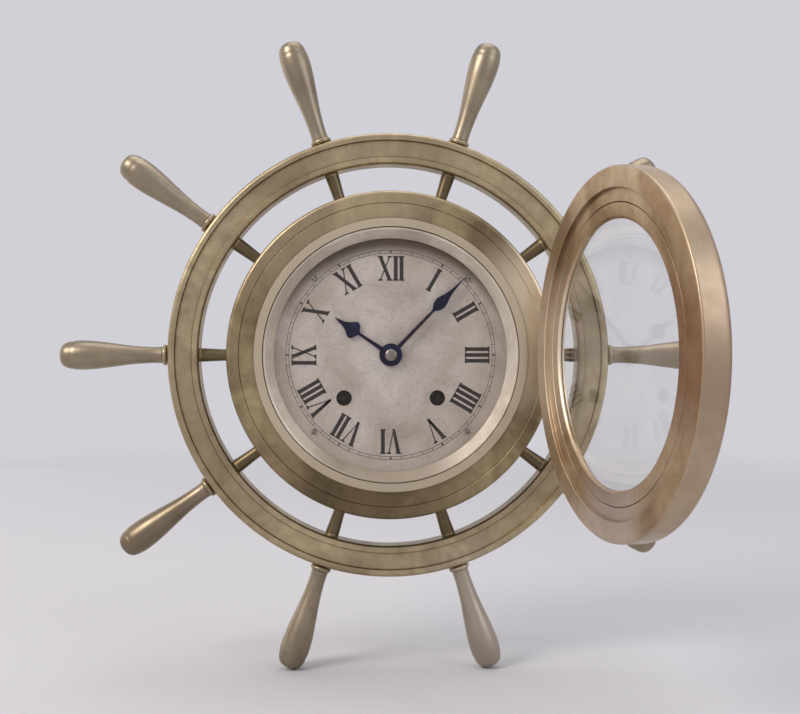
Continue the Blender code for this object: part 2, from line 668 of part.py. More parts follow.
def make_case(brass, steel):
    """Make the drum, its back with the keyhole, and the back's screws."""
    flange_back = CASE_DEPTH - FLANGE_DEPTH
    ring_top = BARREL_BACK + BACK_RING_DEPTH
    lip_front = CASE_DEPTH + LIP_HEIGHT
    drum = turned("case_barrel", [
        (LIP_RADIUS, lip_front),
        (LIP_RADIUS, CASE_DEPTH),
        (FLANGE_RADIUS - FLANGE_CHAMFER, CASE_DEPTH),
        (FLANGE_RADIUS, CASE_DEPTH - FLANGE_CHAMFER),
        (FLANGE_RADIUS, flange_back + FLANGE_CHAMFER),
        (FLANGE_RADIUS - FLANGE_CHAMFER, flange_back),
        (BARREL_RADIUS, flange_back),
        (BARREL_RADIUS, BARREL_BACK),
        (BACK_RING_BORE, BARREL_BACK),
        (BACK_RING_BORE, ring_top),
        (BARREL_RADIUS - BARREL_WALL, ring_top),
        (BARREL_RADIUS - BARREL_WALL, RING_BACK),
        (DIAL_RING_BORE, RING_BACK),
        (DIAL_RING_BORE, RING_FRONT),
        (RECESS_RADIUS, RING_FRONT),
        (RECESS_RADIUS, lip_front),
    ], brass)
    drill_radially(drum, BARREL_RADIUS - TENON_LENGTH - SEAT_GAP, BARREL_RADIUS + OVERRUN,
                   TENON_RADIUS + SEAT_GAP, WHEEL_PLANE)
    screw_end = ring_top - SCREW_HEAD_DEPTH
    shank_hole = SCREW_SHANK_RADIUS + SEAT_GAP
    holes = [(x, y, BARREL_BACK - OVERRUN, screw_end + SEAT_GAP, shank_hole)
             for x, y in back_screw_places()]
    for x, y in dial_screw_places():
        holes.append((x, y, RING_FRONT - DIAL_SCREW_REACH - SEAT_GAP, RING_FRONT + OVERRUN,
                      DIAL_SCREW_SHANK_RADIUS + SEAT_GAP))
    drill(drum, holes)
    drill(drum, [(*polar(MOVEMENT_SCREW_CIRCLE, turn), RING_BACK - OVERRUN,
                  RING_BACK + MOVEMENT_SCREW_REACH + SEAT_GAP,
                  MOVEMENT_SCREW_SHANK_RADIUS + SEAT_GAP) for turn in MOVEMENT_SCREW_ANGLES],
          "movement_screw_holes", parent=movement())

    back = turned("case_back", disc_profile(BARREL_RADIUS, 0.0, BACK_THICKNESS), brass)
    head_sink = SEAT_GAP + SCREW_HEAD_DEPTH
    sinks = [(x, y, -OVERRUN, head_sink, SCREW_HEAD_RADIUS + SEAT_GAP)
             for x, y in back_screw_places()]
    shafts = [(x, y, -OVERRUN, BACK_THICKNESS + OVERRUN, shank_hole)
              for x, y in back_screw_places()]
    drill(back, sinks, "screw_sinks")
    drill(back, shafts, "screw_shafts")
    head_hole = (0.0, KEYHOLE_HEIGHT, -OVERRUN, BACK_THICKNESS + OVERRUN, KEYHOLE_HEAD_RADIUS)
    drill(back, [head_hole], "keyhole_head")
    post_hole = (BELL_AT[0], BELL_AT[1], BACK_THICKNESS / 2, BACK_THICKNESS + OVERRUN,
                 POST_NECK_RADIUS + SEAT_GAP)
    drill(back, [post_hole], "bell_post_hole", parent=movement())
    slot = block("keyhole_slot", (-KEYHOLE_SLOT_WIDTH / 2, KEYHOLE_HEIGHT, -OVERRUN),
                 (KEYHOLE_SLOT_WIDTH / 2, KEYHOLE_HEIGHT + KEYHOLE_SLOT_RISE,
                  BACK_THICKNESS + OVERRUN), None, cutter=True)
    boolean(back, slot, "DIFFERENCE")
    for index, at in enumerate(back_screw_places()):
        turned(f"back_screw_{index + 1}", stepped_rod_profile([
            (SCREW_SHANK_RADIUS, SCREW_HEAD_DEPTH, screw_end),
            (SCREW_HEAD_RADIUS, 0.0, SCREW_HEAD_DEPTH),
        ]), steel, at, SMALL_STEPS)


def make_bezel(brass, glass, steel):
    """Make the glazed bezel, swung open on its hinge at the right of the case."""
    swing = add_empty("bezel_hinge_axis", (HINGE_X, 0.0, HINGE_Z), (0.0, OPEN_ANGLE, 0.0),
                      bpy.data.objects["clock"])
    closed = add_empty("bezel_frame", (-HINGE_X, 0.0, -HINGE_Z), (0.0, 0.0, 0.0), swing)
    back = CASE_DEPTH + SEAT_GAP
    front = back + BEZEL_DEPTH
    bore = LIP_RADIUS + BEZEL_BORE_GAP
    inner = GLASS_RADIUS + SEAT_GAP
    ring_back = back + LIP_HEIGHT + SIDE_GAP
    ring_front = ring_back + GLASS_RING_DEPTH
    glass_back = ring_front + SEAT_GAP
    glass_front = glass_back + GLASS_THICKNESS
    lip_back = glass_front + SEAT_GAP
    lip_front = lip_back + BEZEL_LIP_DEPTH
    band = BEZEL_RADIUS - OPENING_RADIUS
    crown = [(OPENING_RADIUS + band * out, front - BEZEL_DEPTH * fall)
             for out, fall in zip(BEZEL_BAND_SHARES, BEZEL_FALL_SHARES)]
    turned("bezel", [
        (OPENING_RADIUS + OPENING_CHAMFER, lip_front),
        *crown,
        (BEZEL_RADIUS, back + FLANGE_CHAMFER / 2),
        (BEZEL_RADIUS - FLANGE_CHAMFER / 2, back),
        (bore, back),
        (bore, ring_back),
        (inner, ring_back),
        (inner, lip_back),
        (OPENING_RADIUS, lip_back),
        (OPENING_RADIUS, lip_front - OPENING_CHAMFER),
    ], brass, steps=RIM_STEPS, parent=closed)
    turned("bezel_glass", disc_profile(GLASS_RADIUS, glass_back, glass_front), glass,
           parent=closed)
    turned("glass_ring", ring_profile(GLASS_RADIUS, GLASS_RADIUS - GLASS_RING_WIDTH,
                                      ring_back, ring_front), brass, parent=closed)
    make_hinge(brass, steel, closed)


def knuckle(name, low, high, finish, parent=None, cutter=False):
    """Make one round knuckle on the hinge's axis."""
    shape = bmesh.new()
    lie = Matrix.Rotation(math.pi / 2, 4, "X")
    place = Matrix.Translation((HINGE_X, (low + high) / 2, HINGE_Z)) @ lie
    bmesh.ops.create_cone(shape, cap_ends=True, segments=KNUCKLE_STEPS, radius1=KNUCKLE_RADIUS,
                          radius2=KNUCKLE_RADIUS, depth=high - low, matrix=place)
    mesh = bpy.data.meshes.new(name)
    shape.to_mesh(mesh)
    shape.free()
    return add_object(name, mesh, finish, parent=parent, cutter=cutter)


def hinge_bore(name, parent=None):
    """Make the cutter for the hinge pin's bore."""
    shape = bmesh.new()
    lie = Matrix.Rotation(math.pi / 2, 4, "X")
    place = Matrix.Translation((HINGE_X, 0.0, HINGE_Z)) @ lie
    bore = PIN_RADIUS + RUNNING_GAP
    bmesh.ops.create_cone(shape, cap_ends=True, segments=SMALL_STEPS, radius1=bore,
                          radius2=bore, depth=HINGE_LENGTH + OVERRUN, matrix=place)
    mesh = bpy.data.meshes.new(name)
    shape.to_mesh(mesh)
    shape.free()
    return add_object(name, mesh, None, parent=parent, cutter=True)


def make_hinge(brass, steel, closed):
    """Make the two hinge leaves and the pin, and the gate for them in the flange."""
    half = HINGE_LENGTH / 2
    inner_half = BEZEL_KNUCKLE_LENGTH / 2
    outer_start = inner_half + RUNNING_GAP
    leaf_front = CASE_DEPTH - FLANGE_DEPTH - SEAT_GAP
    wall_x = HINGE_X - KNUCKLE_RADIUS
    leaf = block("hinge_case_leaf", (BARREL_RADIUS + SEAT_GAP, -half, leaf_front - LEAF_THICKNESS),
                 (wall_x + LEAF_THICKNESS, half, leaf_front), brass)
    post = block("hinge_post", (wall_x, -half, leaf_front - LEAF_THICKNESS / 2),
                 (wall_x + LEAF_THICKNESS, half, HINGE_Z), None, cutter=True)
    boolean(leaf, post, "UNION")
    barrel = knuckle("hinge_case_knuckle", -half, half, None, cutter=True)
    boolean(leaf, barrel, "UNION")
    notch = block("hinge_notch", (wall_x - OVERRUN, -outer_start,
                                  HINGE_Z - LEAF_GRIP - KNUCKLE_CLEARANCE),
                  (HINGE_X + KNUCKLE_RADIUS + OVERRUN, outer_start,
                   HINGE_Z + KNUCKLE_RADIUS + OVERRUN), None, cutter=True)
    boolean(leaf, notch, "DIFFERENCE")
    boolean(leaf, hinge_bore("hinge_case_bore"), "DIFFERENCE")
    gate = block("hinge_gate", (wall_x - SEAT_GAP, -half - SEAT_GAP, leaf_front),
                 (FLANGE_RADIUS + OVERRUN, half + SEAT_GAP, CASE_DEPTH + OVERRUN), None,
                 cutter=True)
    boolean(bpy.data.objects["case_barrel"], gate, "DIFFERENCE")

    eye = knuckle("hinge_bezel_leaf", -inner_half, inner_half, brass, parent=closed)
    tongue = block("hinge_tongue", (BEZEL_RADIUS + SEAT_GAP, -inner_half,
                                    HINGE_Z - LEAF_GRIP),
                   (HINGE_X, inner_half, HINGE_Z), None, parent=closed, cutter=True)
    boolean(eye, tongue, "UNION")
    boolean(eye, hinge_bore("hinge_bezel_bore", closed), "DIFFERENCE")

    pin = turned("hinge_pin", stepped_rod_profile([
        (PIN_HEAD_RADIUS, half + SEAT_GAP, half + SEAT_GAP + PIN_OVERHANG),
        (PIN_RADIUS, -half - PIN_OVERHANG, half + SEAT_GAP),
    ]), steel, steps=SMALL_STEPS)
    pin.location = (HINGE_X, 0.0, HINGE_Z)
    pin.rotation_euler = (-math.pi / 2, 0.0, 0.0)


def dial_screw_places():
    """Return where the dial's four screws stand."""
    turns = [math.pi / 4 + 2 * math.pi * index / DIAL_SCREW_COUNT
             for index in range(DIAL_SCREW_COUNT)]
    return [polar(DIAL_SCREW_CIRCLE, turn) for turn in turns]


def make_dial(silvered, steel):
    """Make the dial, the bevelled ring round it and the dial's screws."""
    dial = turned("dial", disc_profile(RECESS_RADIUS - DIAL_EDGE_GAP, DIAL_BACK, DIAL_FRONT),
                  silvered)
    low = DIAL_BACK - OVERRUN
    high = DIAL_FRONT + OVERRUN
    holes = [(*TIME_BARREL_AT, low, high, WINDING_HOLE_RADIUS),
             (*STRIKE_BARREL_AT, low, high, WINDING_HOLE_RADIUS),
             (0.0, 0.0, low, high, HOUR_PIPE_RADIUS + SIDE_GAP)]
    drill(dial, holes, "movement_holes", parent=movement())
    drill(dial, [(x, y, low, high, DIAL_SCREW_SHANK_RADIUS + SEAT_GAP)
                 for x, y in dial_screw_places()], "screw_holes")
    foot = DIAL_FRONT + SEAT_GAP
    outer = RECESS_RADIUS - SEAT_GAP
    turned("dial_surround", [
        (outer, CASE_DEPTH),
        (outer, foot),
        (DIAL_VISIBLE_RADIUS, foot),
        (DIAL_VISIBLE_RADIUS, foot + SURROUND_FOOT),
        (outer - SURROUND_FACE, CASE_DEPTH),
    ], silvered)
    for index, at in enumerate(dial_screw_places()):
        turned(f"dial_screw_{index + 1}", stepped_rod_profile([
            (DIAL_SCREW_HEAD_RADIUS, foot, foot + DIAL_SCREW_HEAD_DEPTH),
            (DIAL_SCREW_SHANK_RADIUS, RING_FRONT - DIAL_SCREW_REACH, foot),
        ]), steel, at, SMALL_STEPS)


def hand_outline(length, boss, width, turn):
    """Return a spade hand's outline, pointing along the angle turn."""
    half_stem = HAND_STEM_WIDTH / 2
    side = [(length * along, width / 2 * across)
            for along, across in zip(SPADE_LENGTH_SHARES, SPADE_WIDTH_SHARES)]
    foot_angle = math.asin(half_stem / boss)
    arc = [foot_angle + (2 * math.pi - 2 * foot_angle) * index / HOLE_SIDES
           for index in range(HOLE_SIDES + 1)]
    stem_end = (side[0][0] - half_stem, half_stem / 2)
    outline = [polar(boss, angle) for angle in arc]
    outline.append((stem_end[0], -stem_end[1]))
    outline.extend((along, -across) for along, across in side)
    outline.append((length, 0.0))
    outline.extend(reversed(side))
    outline.append(stem_end)
    cosine, sine = math.cos(turn), math.sin(turn)
    return [(x * cosine - y * sine, x * sine + y * cosine) for x, y in outline]


def make_hands(blued, steel):
    """Make both hands at the shown time, and the nut that holds them."""
    minute_turn = math.pi / 2 - 2 * math.pi * SHOWN_MINUTES / 60
    hour_turn = math.pi / 2 - 2 * math.pi * (SHOWN_HOURS + SHOWN_MINUTES / 60) / 12
    flat_solid("hour_hand", [
        hand_outline(HOUR_HAND_LENGTH, HOUR_BOSS_RADIUS, HOUR_SPADE_WIDTH, hour_turn),
        circle(HOUR_PIPE_RADIUS + SEAT_GAP)], HOUR_HAND_BACK, HOUR_HAND_FRONT, blued,
               parent=movement())
    flat_solid("minute_hand", [
        hand_outline(MINUTE_HAND_LENGTH, MINUTE_BOSS_RADIUS, MINUTE_SPADE_WIDTH, minute_turn),
        circle(CANNON_PIPE_RADIUS + SEAT_GAP)], MINUTE_HAND_BACK, MINUTE_HAND_FRONT, blued,
               parent=movement())
    nut = turned("hand_nut", disc_profile(NUT_RADIUS, NUT_BACK, NUT_BACK + NUT_DEPTH), steel,
                 steps=SMALL_STEPS, parent=movement())
    drill(nut, [(0.0, 0.0, NUT_BACK - OVERRUN, NUT_BACK + NUT_DEPTH / 2 + SEAT_GAP,
                 CENTRE_ARBOR_RADIUS + SEAT_GAP)])


def make_plates(brass, steel):
    """Make the movement's plates, pillars and screws."""
    front = turned("front_plate", disc_profile(PLATE_RADIUS, FRONT_PLATE_BACK,
                                               FRONT_PLATE_FRONT), brass, parent=movement())
    back = turned("back_plate", disc_profile(PLATE_RADIUS, BACK_PLATE_BACK, BACK_PLATE_FRONT),
                  brass, parent=movement())
    front_low = FRONT_PLATE_BACK - OVERRUN
    front_high = FRONT_PLATE_FRONT + OVERRUN
    back_low = BACK_PLATE_BACK - OVERRUN
    back_high = BACK_PLATE_FRONT + OVERRUN
    pivot_hole = PIVOT_RADIUS + RUNNING_GAP
    front_holes = [(0.0, 0.0, front_low, front_high, CENTRE_ARBOR_RADIUS + RUNNING_GAP),
                   (*MOTION_AT, front_low, front_high, pivot_hole)]
    back_holes = [(0.0, 0.0, back_low, back_high, pivot_hole)]
    for at in (INTERMEDIATE_AT, THIRD_AT, STAR_AT):
        front_holes.append((*at, front_low, front_high, pivot_hole))
        back_holes.append((*at, back_low, back_high, pivot_hole))
    front_holes.append((*HAMMER_AT, front_low, front_high, pivot_hole))
    back_holes.append((*HAMMER_AT, back_low, back_high, ARBOR_RADIUS + RUNNING_GAP))
    for at in (TIME_BARREL_AT, STRIKE_BARREL_AT):
        arbor_hole = WINDING_PIVOT_RADIUS + RUNNING_GAP
        front_holes.append((*at, front_low, front_high, arbor_hole))
        back_holes.append((*at, back_low, back_high, arbor_hole))
        front_holes.append((*click_place(at), front_low, front_high, pivot_hole))
    for turn in MOVEMENT_SCREW_ANGLES:
        front_holes.append((*polar(MOVEMENT_SCREW_CIRCLE, turn), front_low, front_high,
                            MOVEMENT_SCREW_SHANK_RADIUS + SEAT_GAP))
    for turn in PILLAR_ANGLES:
        at = polar(PILLAR_CIRCLE, turn)
        front_holes.append((*at, front_low, front_high, PILLAR_TENON_RADIUS + SEAT_GAP))
        back_holes.append((*at, back_low, back_high, PILLAR_TENON_RADIUS + SEAT_GAP))
    drill(front, front_holes)
    drill(back, back_holes)
    for index, turn in enumerate(PILLAR_ANGLES):
        turned(f"pillar_{index + 1}", stepped_rod_profile([
            (PILLAR_TENON_RADIUS, FRONT_PLATE_BACK - SEAT_GAP, FRONT_PLATE_FRONT - SEAT_GAP),
            (PILLAR_RADIUS, BACK_PLATE_FRONT + SEAT_GAP, FRONT_PLATE_BACK - SEAT_GAP),
            (PILLAR_TENON_RADIUS, BACK_PLATE_BACK + SEAT_GAP, BACK_PLATE_FRONT + SEAT_GAP),
        ]), brass, polar(PILLAR_CIRCLE, turn), SMALL_STEPS, movement())
    head_front = FRONT_PLATE_BACK - SEAT_GAP
    for index, turn in enumerate(MOVEMENT_SCREW_ANGLES):
        turned(f"movement_screw_{index + 1}", stepped_rod_profile([
            (MOVEMENT_SCREW_SHANK_RADIUS, head_front, RING_BACK + MOVEMENT_SCREW_REACH),
            (MOVEMENT_SCREW_HEAD_RADIUS, head_front - MOVEMENT_SCREW_HEAD_DEPTH, head_front),
        ]), steel, polar(MOVEMENT_SCREW_CIRCLE, turn), SMALL_STEPS, movement())


def make_barrel(name, at, brass, steel):
    """Make a spring barrel, its mainspring, its winding arbor and the click."""
    bore = WINDING_ARBOR_RADIUS + RUNNING_GAP
    cavity = DRUM_RADIUS - DRUM_WALL
    barrel = turned(name + "_barrel", [
        (DRUM_RADIUS, DRUM_FRONT),
        (DRUM_RADIUS, GREAT_WHEEL_BACK),
        (bore, GREAT_WHEEL_BACK),
        (bore, GREAT_WHEEL_FRONT),
        (cavity, GREAT_WHEEL_FRONT),
        (cavity, DRUM_FRONT),
    ], brass, at, DRUM_STEPS, movement())
    fuse(barrel, [wheel_outline(BARREL_TEETH, BARREL_MODULE), circle(bore + SEAT_GAP)],
         GREAT_WHEEL_BACK, GREAT_WHEEL_FRONT)

    start = WINDING_ARBOR_RADIUS + SEAT_GAP + SPRING_THICKNESS / 2
    end = cavity - SEAT_GAP - SPRING_THICKNESS / 2
    count = SPRING_TURNS * SPRING_POINTS_PER_TURN
    inner_edge = []
    outer_edge = []
    for index in range(count + 1):
        radius = start + (end - start) * index / count
        angle = 2 * math.pi * index / SPRING_POINTS_PER_TURN
        inner_edge.append(polar(radius - SPRING_THICKNESS / 2, angle))
        outer_edge.append(polar(radius + SPRING_THICKNESS / 2, angle))
    flat_solid(name + "_mainspring", [outer_edge + inner_edge[::-1]],
               GREAT_WHEEL_FRONT + SEAT_GAP, DRUM_FRONT - SPRING_END_GAP, steel, at,
               movement())

    ratchet_front = MINUTE_WHEEL_BACK + RATCHET_THICKNESS
    square_front = DIAL_FRONT - WINDING_SQUARE_SHORT
    shaft = turned(name + "_winding_arbor", stepped_rod_profile([
        (WINDING_PIVOT_RADIUS, FRONT_PLATE_BACK - RUNNING_GAP, ratchet_front),
        (WINDING_ARBOR_RADIUS, BACK_PLATE_FRONT + RUNNING_GAP, FRONT_PLATE_BACK - RUNNING_GAP),
        (WINDING_PIVOT_RADIUS, BACK_PLATE_FRONT - PIVOT_REACH, BACK_PLATE_FRONT + RUNNING_GAP),
    ]), steel, at, SMALL_STEPS, movement())
    half = WINDING_SQUARE / 2
    square = [(half, half), (-half, half), (-half, -half), (half, -half)]
    fuse(shaft, [square], MINUTE_WHEEL_BACK, square_front)
    fuse(shaft, [ratchet_outline(at)], MINUTE_WHEEL_BACK, ratchet_front)
    make_click(name, at, steel)


def click_place(at):
    """Return where a barrel's click turns: out from the barrel, away from the centre."""
    side = math.copysign(1.0, at[0])
    turn = math.pi / 2 - side * (math.pi / 2 - CLICK_ANGLE)
    return offset(at, polar(CLICK_PIVOT_DISTANCE, -turn))


def ratchet_outline(at):
    """Return the ratchet's outline, with a tooth's face toward its click."""
    spacing = 2 * math.pi / RATCHET_TEETH
    start = bearing(at, click_place(at))
    outline = []
    for index in range(RATCHET_TEETH):
        outline.append(polar(RATCHET_RADIUS - RATCHET_TOOTH, start + index * spacing))
        outline.append(polar(RATCHET_RADIUS, start + index * spacing))
    return outline


def make_click(name, at, steel):
    """Make the click that drops into the ratchet's teeth."""
    pivot = click_place(at)
    inward = bearing(pivot, at)
    reach = CLICK_PIVOT_DISTANCE - RATCHET_RADIUS - CLICK_TOOTH_GAP
    body = [polar(reach, inward - CLICK_TIP_ANGLE / 2),
            polar(reach, inward + CLICK_TIP_ANGLE / 2)]
    arc_start = inward + math.pi / 2
    body.extend(polar(CLICK_BOSS_RADIUS, arc_start + math.pi * index / (HOLE_SIDES / 2))
                for index in range(HOLE_SIDES // 2 + 1))
    low = MINUTE_WHEEL_BACK
    high = low + RATCHET_THICKNESS
    click = turned(name + "_click", stepped_rod_profile([
        (ARBOR_RADIUS, low, high + SEAT_GAP),
        (PIVOT_RADIUS, FRONT_PLATE_BACK + RUNNING_GAP, low),
    ]), steel, pivot, SMALL_STEPS, movement())
    fuse(click, [body], low, high)


def make_time_train(brass):
    """Make the wheels from the time barrel to the third wheel, in mesh."""
    centre = (0.0, 0.0)
    leaf_back = BACK_PLATE_FRONT + RUNNING_GAP
    intermediate = arbor("intermediate_wheel", INTERMEDIATE_AT, brass)
    phase = meshing_phase(TIME_BARREL_AT, BARREL_TEETH, 0.0, INTERMEDIATE_AT,
                          BARREL_PINION_TEETH)
    fuse(intermediate, [pinion_outline(BARREL_PINION_TEETH, BARREL_MODULE, phase)],
         leaf_back, leaf_back + PINION_DEPTH)
    fuse(intermediate, [wheel_outline(INTERMEDIATE_TEETH, INTERMEDIATE_MODULE)],
         UPPER_WHEEL_BACK, UPPER_WHEEL_FRONT)

    nut_end = NUT_BACK + NUT_DEPTH / 2
    wheel = turned("centre_wheel", stepped_rod_profile([
        (CENTRE_ARBOR_RADIUS, FRONT_PLATE_BACK - RUNNING_GAP, nut_end),
        (ARBOR_RADIUS, BACK_PLATE_FRONT + RUNNING_GAP, FRONT_PLATE_BACK - RUNNING_GAP),
        (PIVOT_RADIUS, BACK_PLATE_FRONT - PIVOT_REACH, BACK_PLATE_FRONT + RUNNING_GAP),
    ]), brass, centre, SMALL_STEPS, movement())
    phase = meshing_phase(INTERMEDIATE_AT, INTERMEDIATE_TEETH, 0.0, centre, CENTRE_PINION_TEETH)
    fuse(wheel, [pinion_outline(CENTRE_PINION_TEETH, INTERMEDIATE_MODULE, phase)],
         FRONT_PLATE_BACK - RUNNING_GAP - PINION_DEPTH, FRONT_PLATE_BACK - RUNNING_GAP)
    low = BACK_PLATE_FRONT + CENTRE_WHEEL_RISE
    fuse(wheel, [wheel_outline(CENTRE_TEETH, CENTRE_MODULE)], low, low + TRAIN_WHEEL_THICKNESS)

    third = arbor("third_wheel", THIRD_AT, brass)
    phase = meshing_phase(centre, CENTRE_TEETH, 0.0, THIRD_AT, THIRD_PINION_TEETH)
    fuse(third, [pinion_outline(THIRD_PINION_TEETH, CENTRE_MODULE, phase)],
         low - SIDE_GAP, low - SIDE_GAP + PINION_DEPTH)
    low = BACK_PLATE_FRONT + THIRD_WHEEL_RISE
    fuse(third, [wheel_outline(THIRD_WHEEL_TEETH, THIRD_WHEEL_MODULE)], low,
         low + TRAIN_WHEEL_THICKNESS)


def make_motion_work(brass, steel):
    """Make the cannon pinion, the minute wheel and the hour wheel under the dial."""
    centre = (0.0, 0.0)
    bore = CENTRE_ARBOR_RADIUS + RUNNING_GAP
    cannon = turned("cannon_pinion", ring_profile(
        CANNON_PIPE_RADIUS, bore, MINUTE_WHEEL_BACK - SIDE_GAP + SEAT_GAP,
        MINUTE_HAND_FRONT - SEAT_GAP), steel, centre, SMALL_STEPS, movement())
    fuse(cannon, [pinion_outline(CANNON_TEETH, MOTION_MODULE), circle(bore + SEAT_GAP)],
         MINUTE_WHEEL_BACK - SIDE_GAP + SEAT_GAP, MINUTE_WHEEL_FRONT)
    wheel = turned("minute_wheel", stepped_rod_profile([
        (ARBOR_RADIUS, MINUTE_WHEEL_BACK, HOUR_WHEEL_FRONT),
        (PIVOT_RADIUS, FRONT_PLATE_BACK + RUNNING_GAP, MINUTE_WHEEL_BACK),
    ]), brass, MOTION_AT, SMALL_STEPS, movement())
    phase = meshing_phase(centre, CANNON_TEETH, 0.0, MOTION_AT, MINUTE_WHEEL_TEETH)
    fuse(wheel, [wheel_outline(MINUTE_WHEEL_TEETH, MOTION_MODULE, phase)],
         MINUTE_WHEEL_BACK, MINUTE_WHEEL_FRONT)
    fuse(wheel, [pinion_outline(MINUTE_PINION_TEETH, HOUR_MODULE)],
         MINUTE_WHEEL_FRONT - SEAT_GAP, HOUR_WHEEL_FRONT)
    pipe_bore = CANNON_PIPE_RADIUS + RUNNING_GAP
    hour = turned("hour_wheel", ring_profile(HOUR_PIPE_RADIUS, pipe_bore, HOUR_WHEEL_BACK,
                                             HOUR_HAND_FRONT - SEAT_GAP), brass, centre,
                  SMALL_STEPS, movement())
    phase = meshing_phase(MOTION_AT, MINUTE_PINION_TEETH, 0.0, centre, HOUR_TEETH)
    fuse(hour, [wheel_outline(HOUR_TEETH, HOUR_MODULE, phase), circle(pipe_bore + SEAT_GAP)],
         HOUR_WHEEL_BACK, HOUR_WHEEL_FRONT)


def make_escapement(brass):
    """Make the escapement platform and its balance."""
    x, y = BALANCE_AT
    base_back = BACK_PLATE_FRONT + SEAT_GAP
    base_front = base_back + PLATFORM_THICKNESS
    balance_back = base_front + BALANCE_SPACE
    balance_front = balance_back + BALANCE_THICKNESS
    cock_back = balance_front + BALANCE_SPACE
    cock_front = cock_back + COCK_THICKNESS
    half_width = PLATFORM_WIDTH / 2
    half_length = PLATFORM_LENGTH / 2
    platform = block("escapement_platform", (x - half_width, y - half_length, base_back),
                     (x + half_width, y + half_length, base_front), brass,
                     parent=movement())
    foot = block("cock_foot", (x + half_width - COCK_WIDTH / 2, y - COCK_WIDTH / 2,
                               base_front - SEAT_GAP),
                 (x + half_width, y + COCK_WIDTH / 2, cock_front), None,
                 parent=movement(), cutter=True)
    arm = block("cock_arm", (x - COCK_WIDTH / 2, y - COCK_WIDTH / 2, cock_back),
                (x + half_width, y + COCK_WIDTH / 2, cock_front), None,
                parent=movement(), cutter=True)
    boolean(platform, foot, "UNION")
    boolean(platform, arm, "UNION")
    drill(platform, [(x, y, base_back - OVERRUN, cock_front + OVERRUN,
                      BALANCE_STAFF_RADIUS + RUNNING_GAP)])
    balance = turned("balance_wheel", disc_profile(
        BALANCE_STAFF_RADIUS, base_back + SEAT_GAP, cock_front - SEAT_GAP), brass, BALANCE_AT,
                     SMALL_STEPS, movement())
    half_arm = BALANCE_ARM_WIDTH / 2
    reach = BALANCE_RADIUS - BALANCE_RIM / 2
    bar = [(reach, half_arm), (-reach, half_arm), (-reach, -half_arm), (reach, -half_arm)]
    fuse(balance, [bar], balance_back, balance_front)
    fuse(balance, [circle(BALANCE_RADIUS, sides=DRUM_STEPS),
                   circle(BALANCE_RADIUS - BALANCE_RIM, sides=DRUM_STEPS)],
         balance_back, balance_front)


def make_strike(brass, steel):
    """Make the lifting star, the hammer, the bell and the bell's post."""
    star = arbor("strike_star_wheel", STAR_AT, brass)
    leaf_back = BACK_PLATE_FRONT + RUNNING_GAP
    phase = meshing_phase(STRIKE_BARREL_AT, BARREL_TEETH, 0.0, STAR_AT, BARREL_PINION_TEETH)
    fuse(star, [pinion_outline(BARREL_PINION_TEETH, BARREL_MODULE, phase)],
         leaf_back, leaf_back + PINION_DEPTH)
    toward_hammer = bearing(STAR_AT, HAMMER_AT)
    fuse(star, [toothed(STAR_TEETH, STAR_RADIUS * STAR_ROOT_SHARE, STAR_RADIUS,
                        STAR_FOOT_HALF_SHARE, STAR_TIP_HALF_SHARE, toward_hammer)],
         UPPER_WHEEL_BACK, UPPER_WHEEL_FRONT)

    head_back = BELL_MOUTH_RISE + SIDE_GAP
    head_front = head_back + HAMMER_HEAD_SHARE * BELL_DEPTH
    arm_back = head_front
    arm_front = arm_back + HAMMER_ARM_THICKNESS
    hammer = turned("hammer", stepped_rod_profile([
        (PIVOT_RADIUS, FRONT_PLATE_BACK - RUNNING_GAP, FRONT_PLATE_BACK + PIVOT_REACH),
        (ARBOR_RADIUS, arm_back, FRONT_PLATE_BACK - RUNNING_GAP),
    ]), steel, HAMMER_AT, SMALL_STEPS, movement())
    head = (HAMMER_HEAD_AT[0] - HAMMER_AT[0], HAMMER_HEAD_AT[1] - HAMMER_AT[1])
    tail_angle = bearing(HAMMER_AT, STAR_AT)
    tail_reach = distance(HAMMER_AT, STAR_AT) - STAR_RADIUS - HAMMER_TAIL_GAP
    fuse(hammer, [bar_outline((0.0, 0.0), head, HAMMER_ARM_WIDTH)], arm_back, arm_front)
    fuse(hammer, [circle(HAMMER_HEAD_RADIUS, head)], head_back, arm_front)
    fuse(hammer, [bar_outline((0.0, 0.0), polar(tail_reach, tail_angle), HAMMER_TAIL_WIDTH)],
         UPPER_WHEEL_BACK, UPPER_WHEEL_FRONT)

    mouth = BELL_MOUTH_RISE
    bore = POST_NECK_RADIUS + SEAT_GAP
    outside = [(BELL_RADIUS * out, mouth + BELL_DEPTH * rise)
               for out, rise in zip(BELL_RADIUS_SHARES, BELL_RISE_SHARES)]
    inside = [(radius - BELL_WALL * (1 - rise), level - BELL_WALL * rise)
              for (radius, level), rise in zip(outside, BELL_RISE_SHARES)]
    turned("bell", [(bore, BELL_CROWN)] + outside[::-1] + inside + [(bore, BELL_CROWN - BELL_WALL)],
           brass, BELL_AT, DRUM_STEPS, movement())
    shoulder = BELL_CROWN - BELL_WALL - SEAT_GAP
    turned("bell_post", stepped_rod_profile([
        (POST_HEAD_RADIUS, BELL_CROWN + SEAT_GAP, BELL_CROWN + SEAT_GAP + POST_HEAD_DEPTH),
        (POST_NECK_RADIUS, shoulder, BELL_CROWN + SEAT_GAP),
        (POST_RADIUS, BARREL_BACK, shoulder),
        (POST_NECK_RADIUS, BACK_THICKNESS / 2 + SEAT_GAP, BARREL_BACK),
    ]), brass, BELL_AT, SMALL_STEPS, movement())


def bar_outline(start, end, width):
    """Return a straight bar's outline from start to end."""
    angle = bearing(start, end)
    side = polar(width / 2, angle + math.pi / 2)
    other = (-side[0], -side[1])
    return [offset(start, side), offset(start, other), offset(end, other), offset(end, side)]


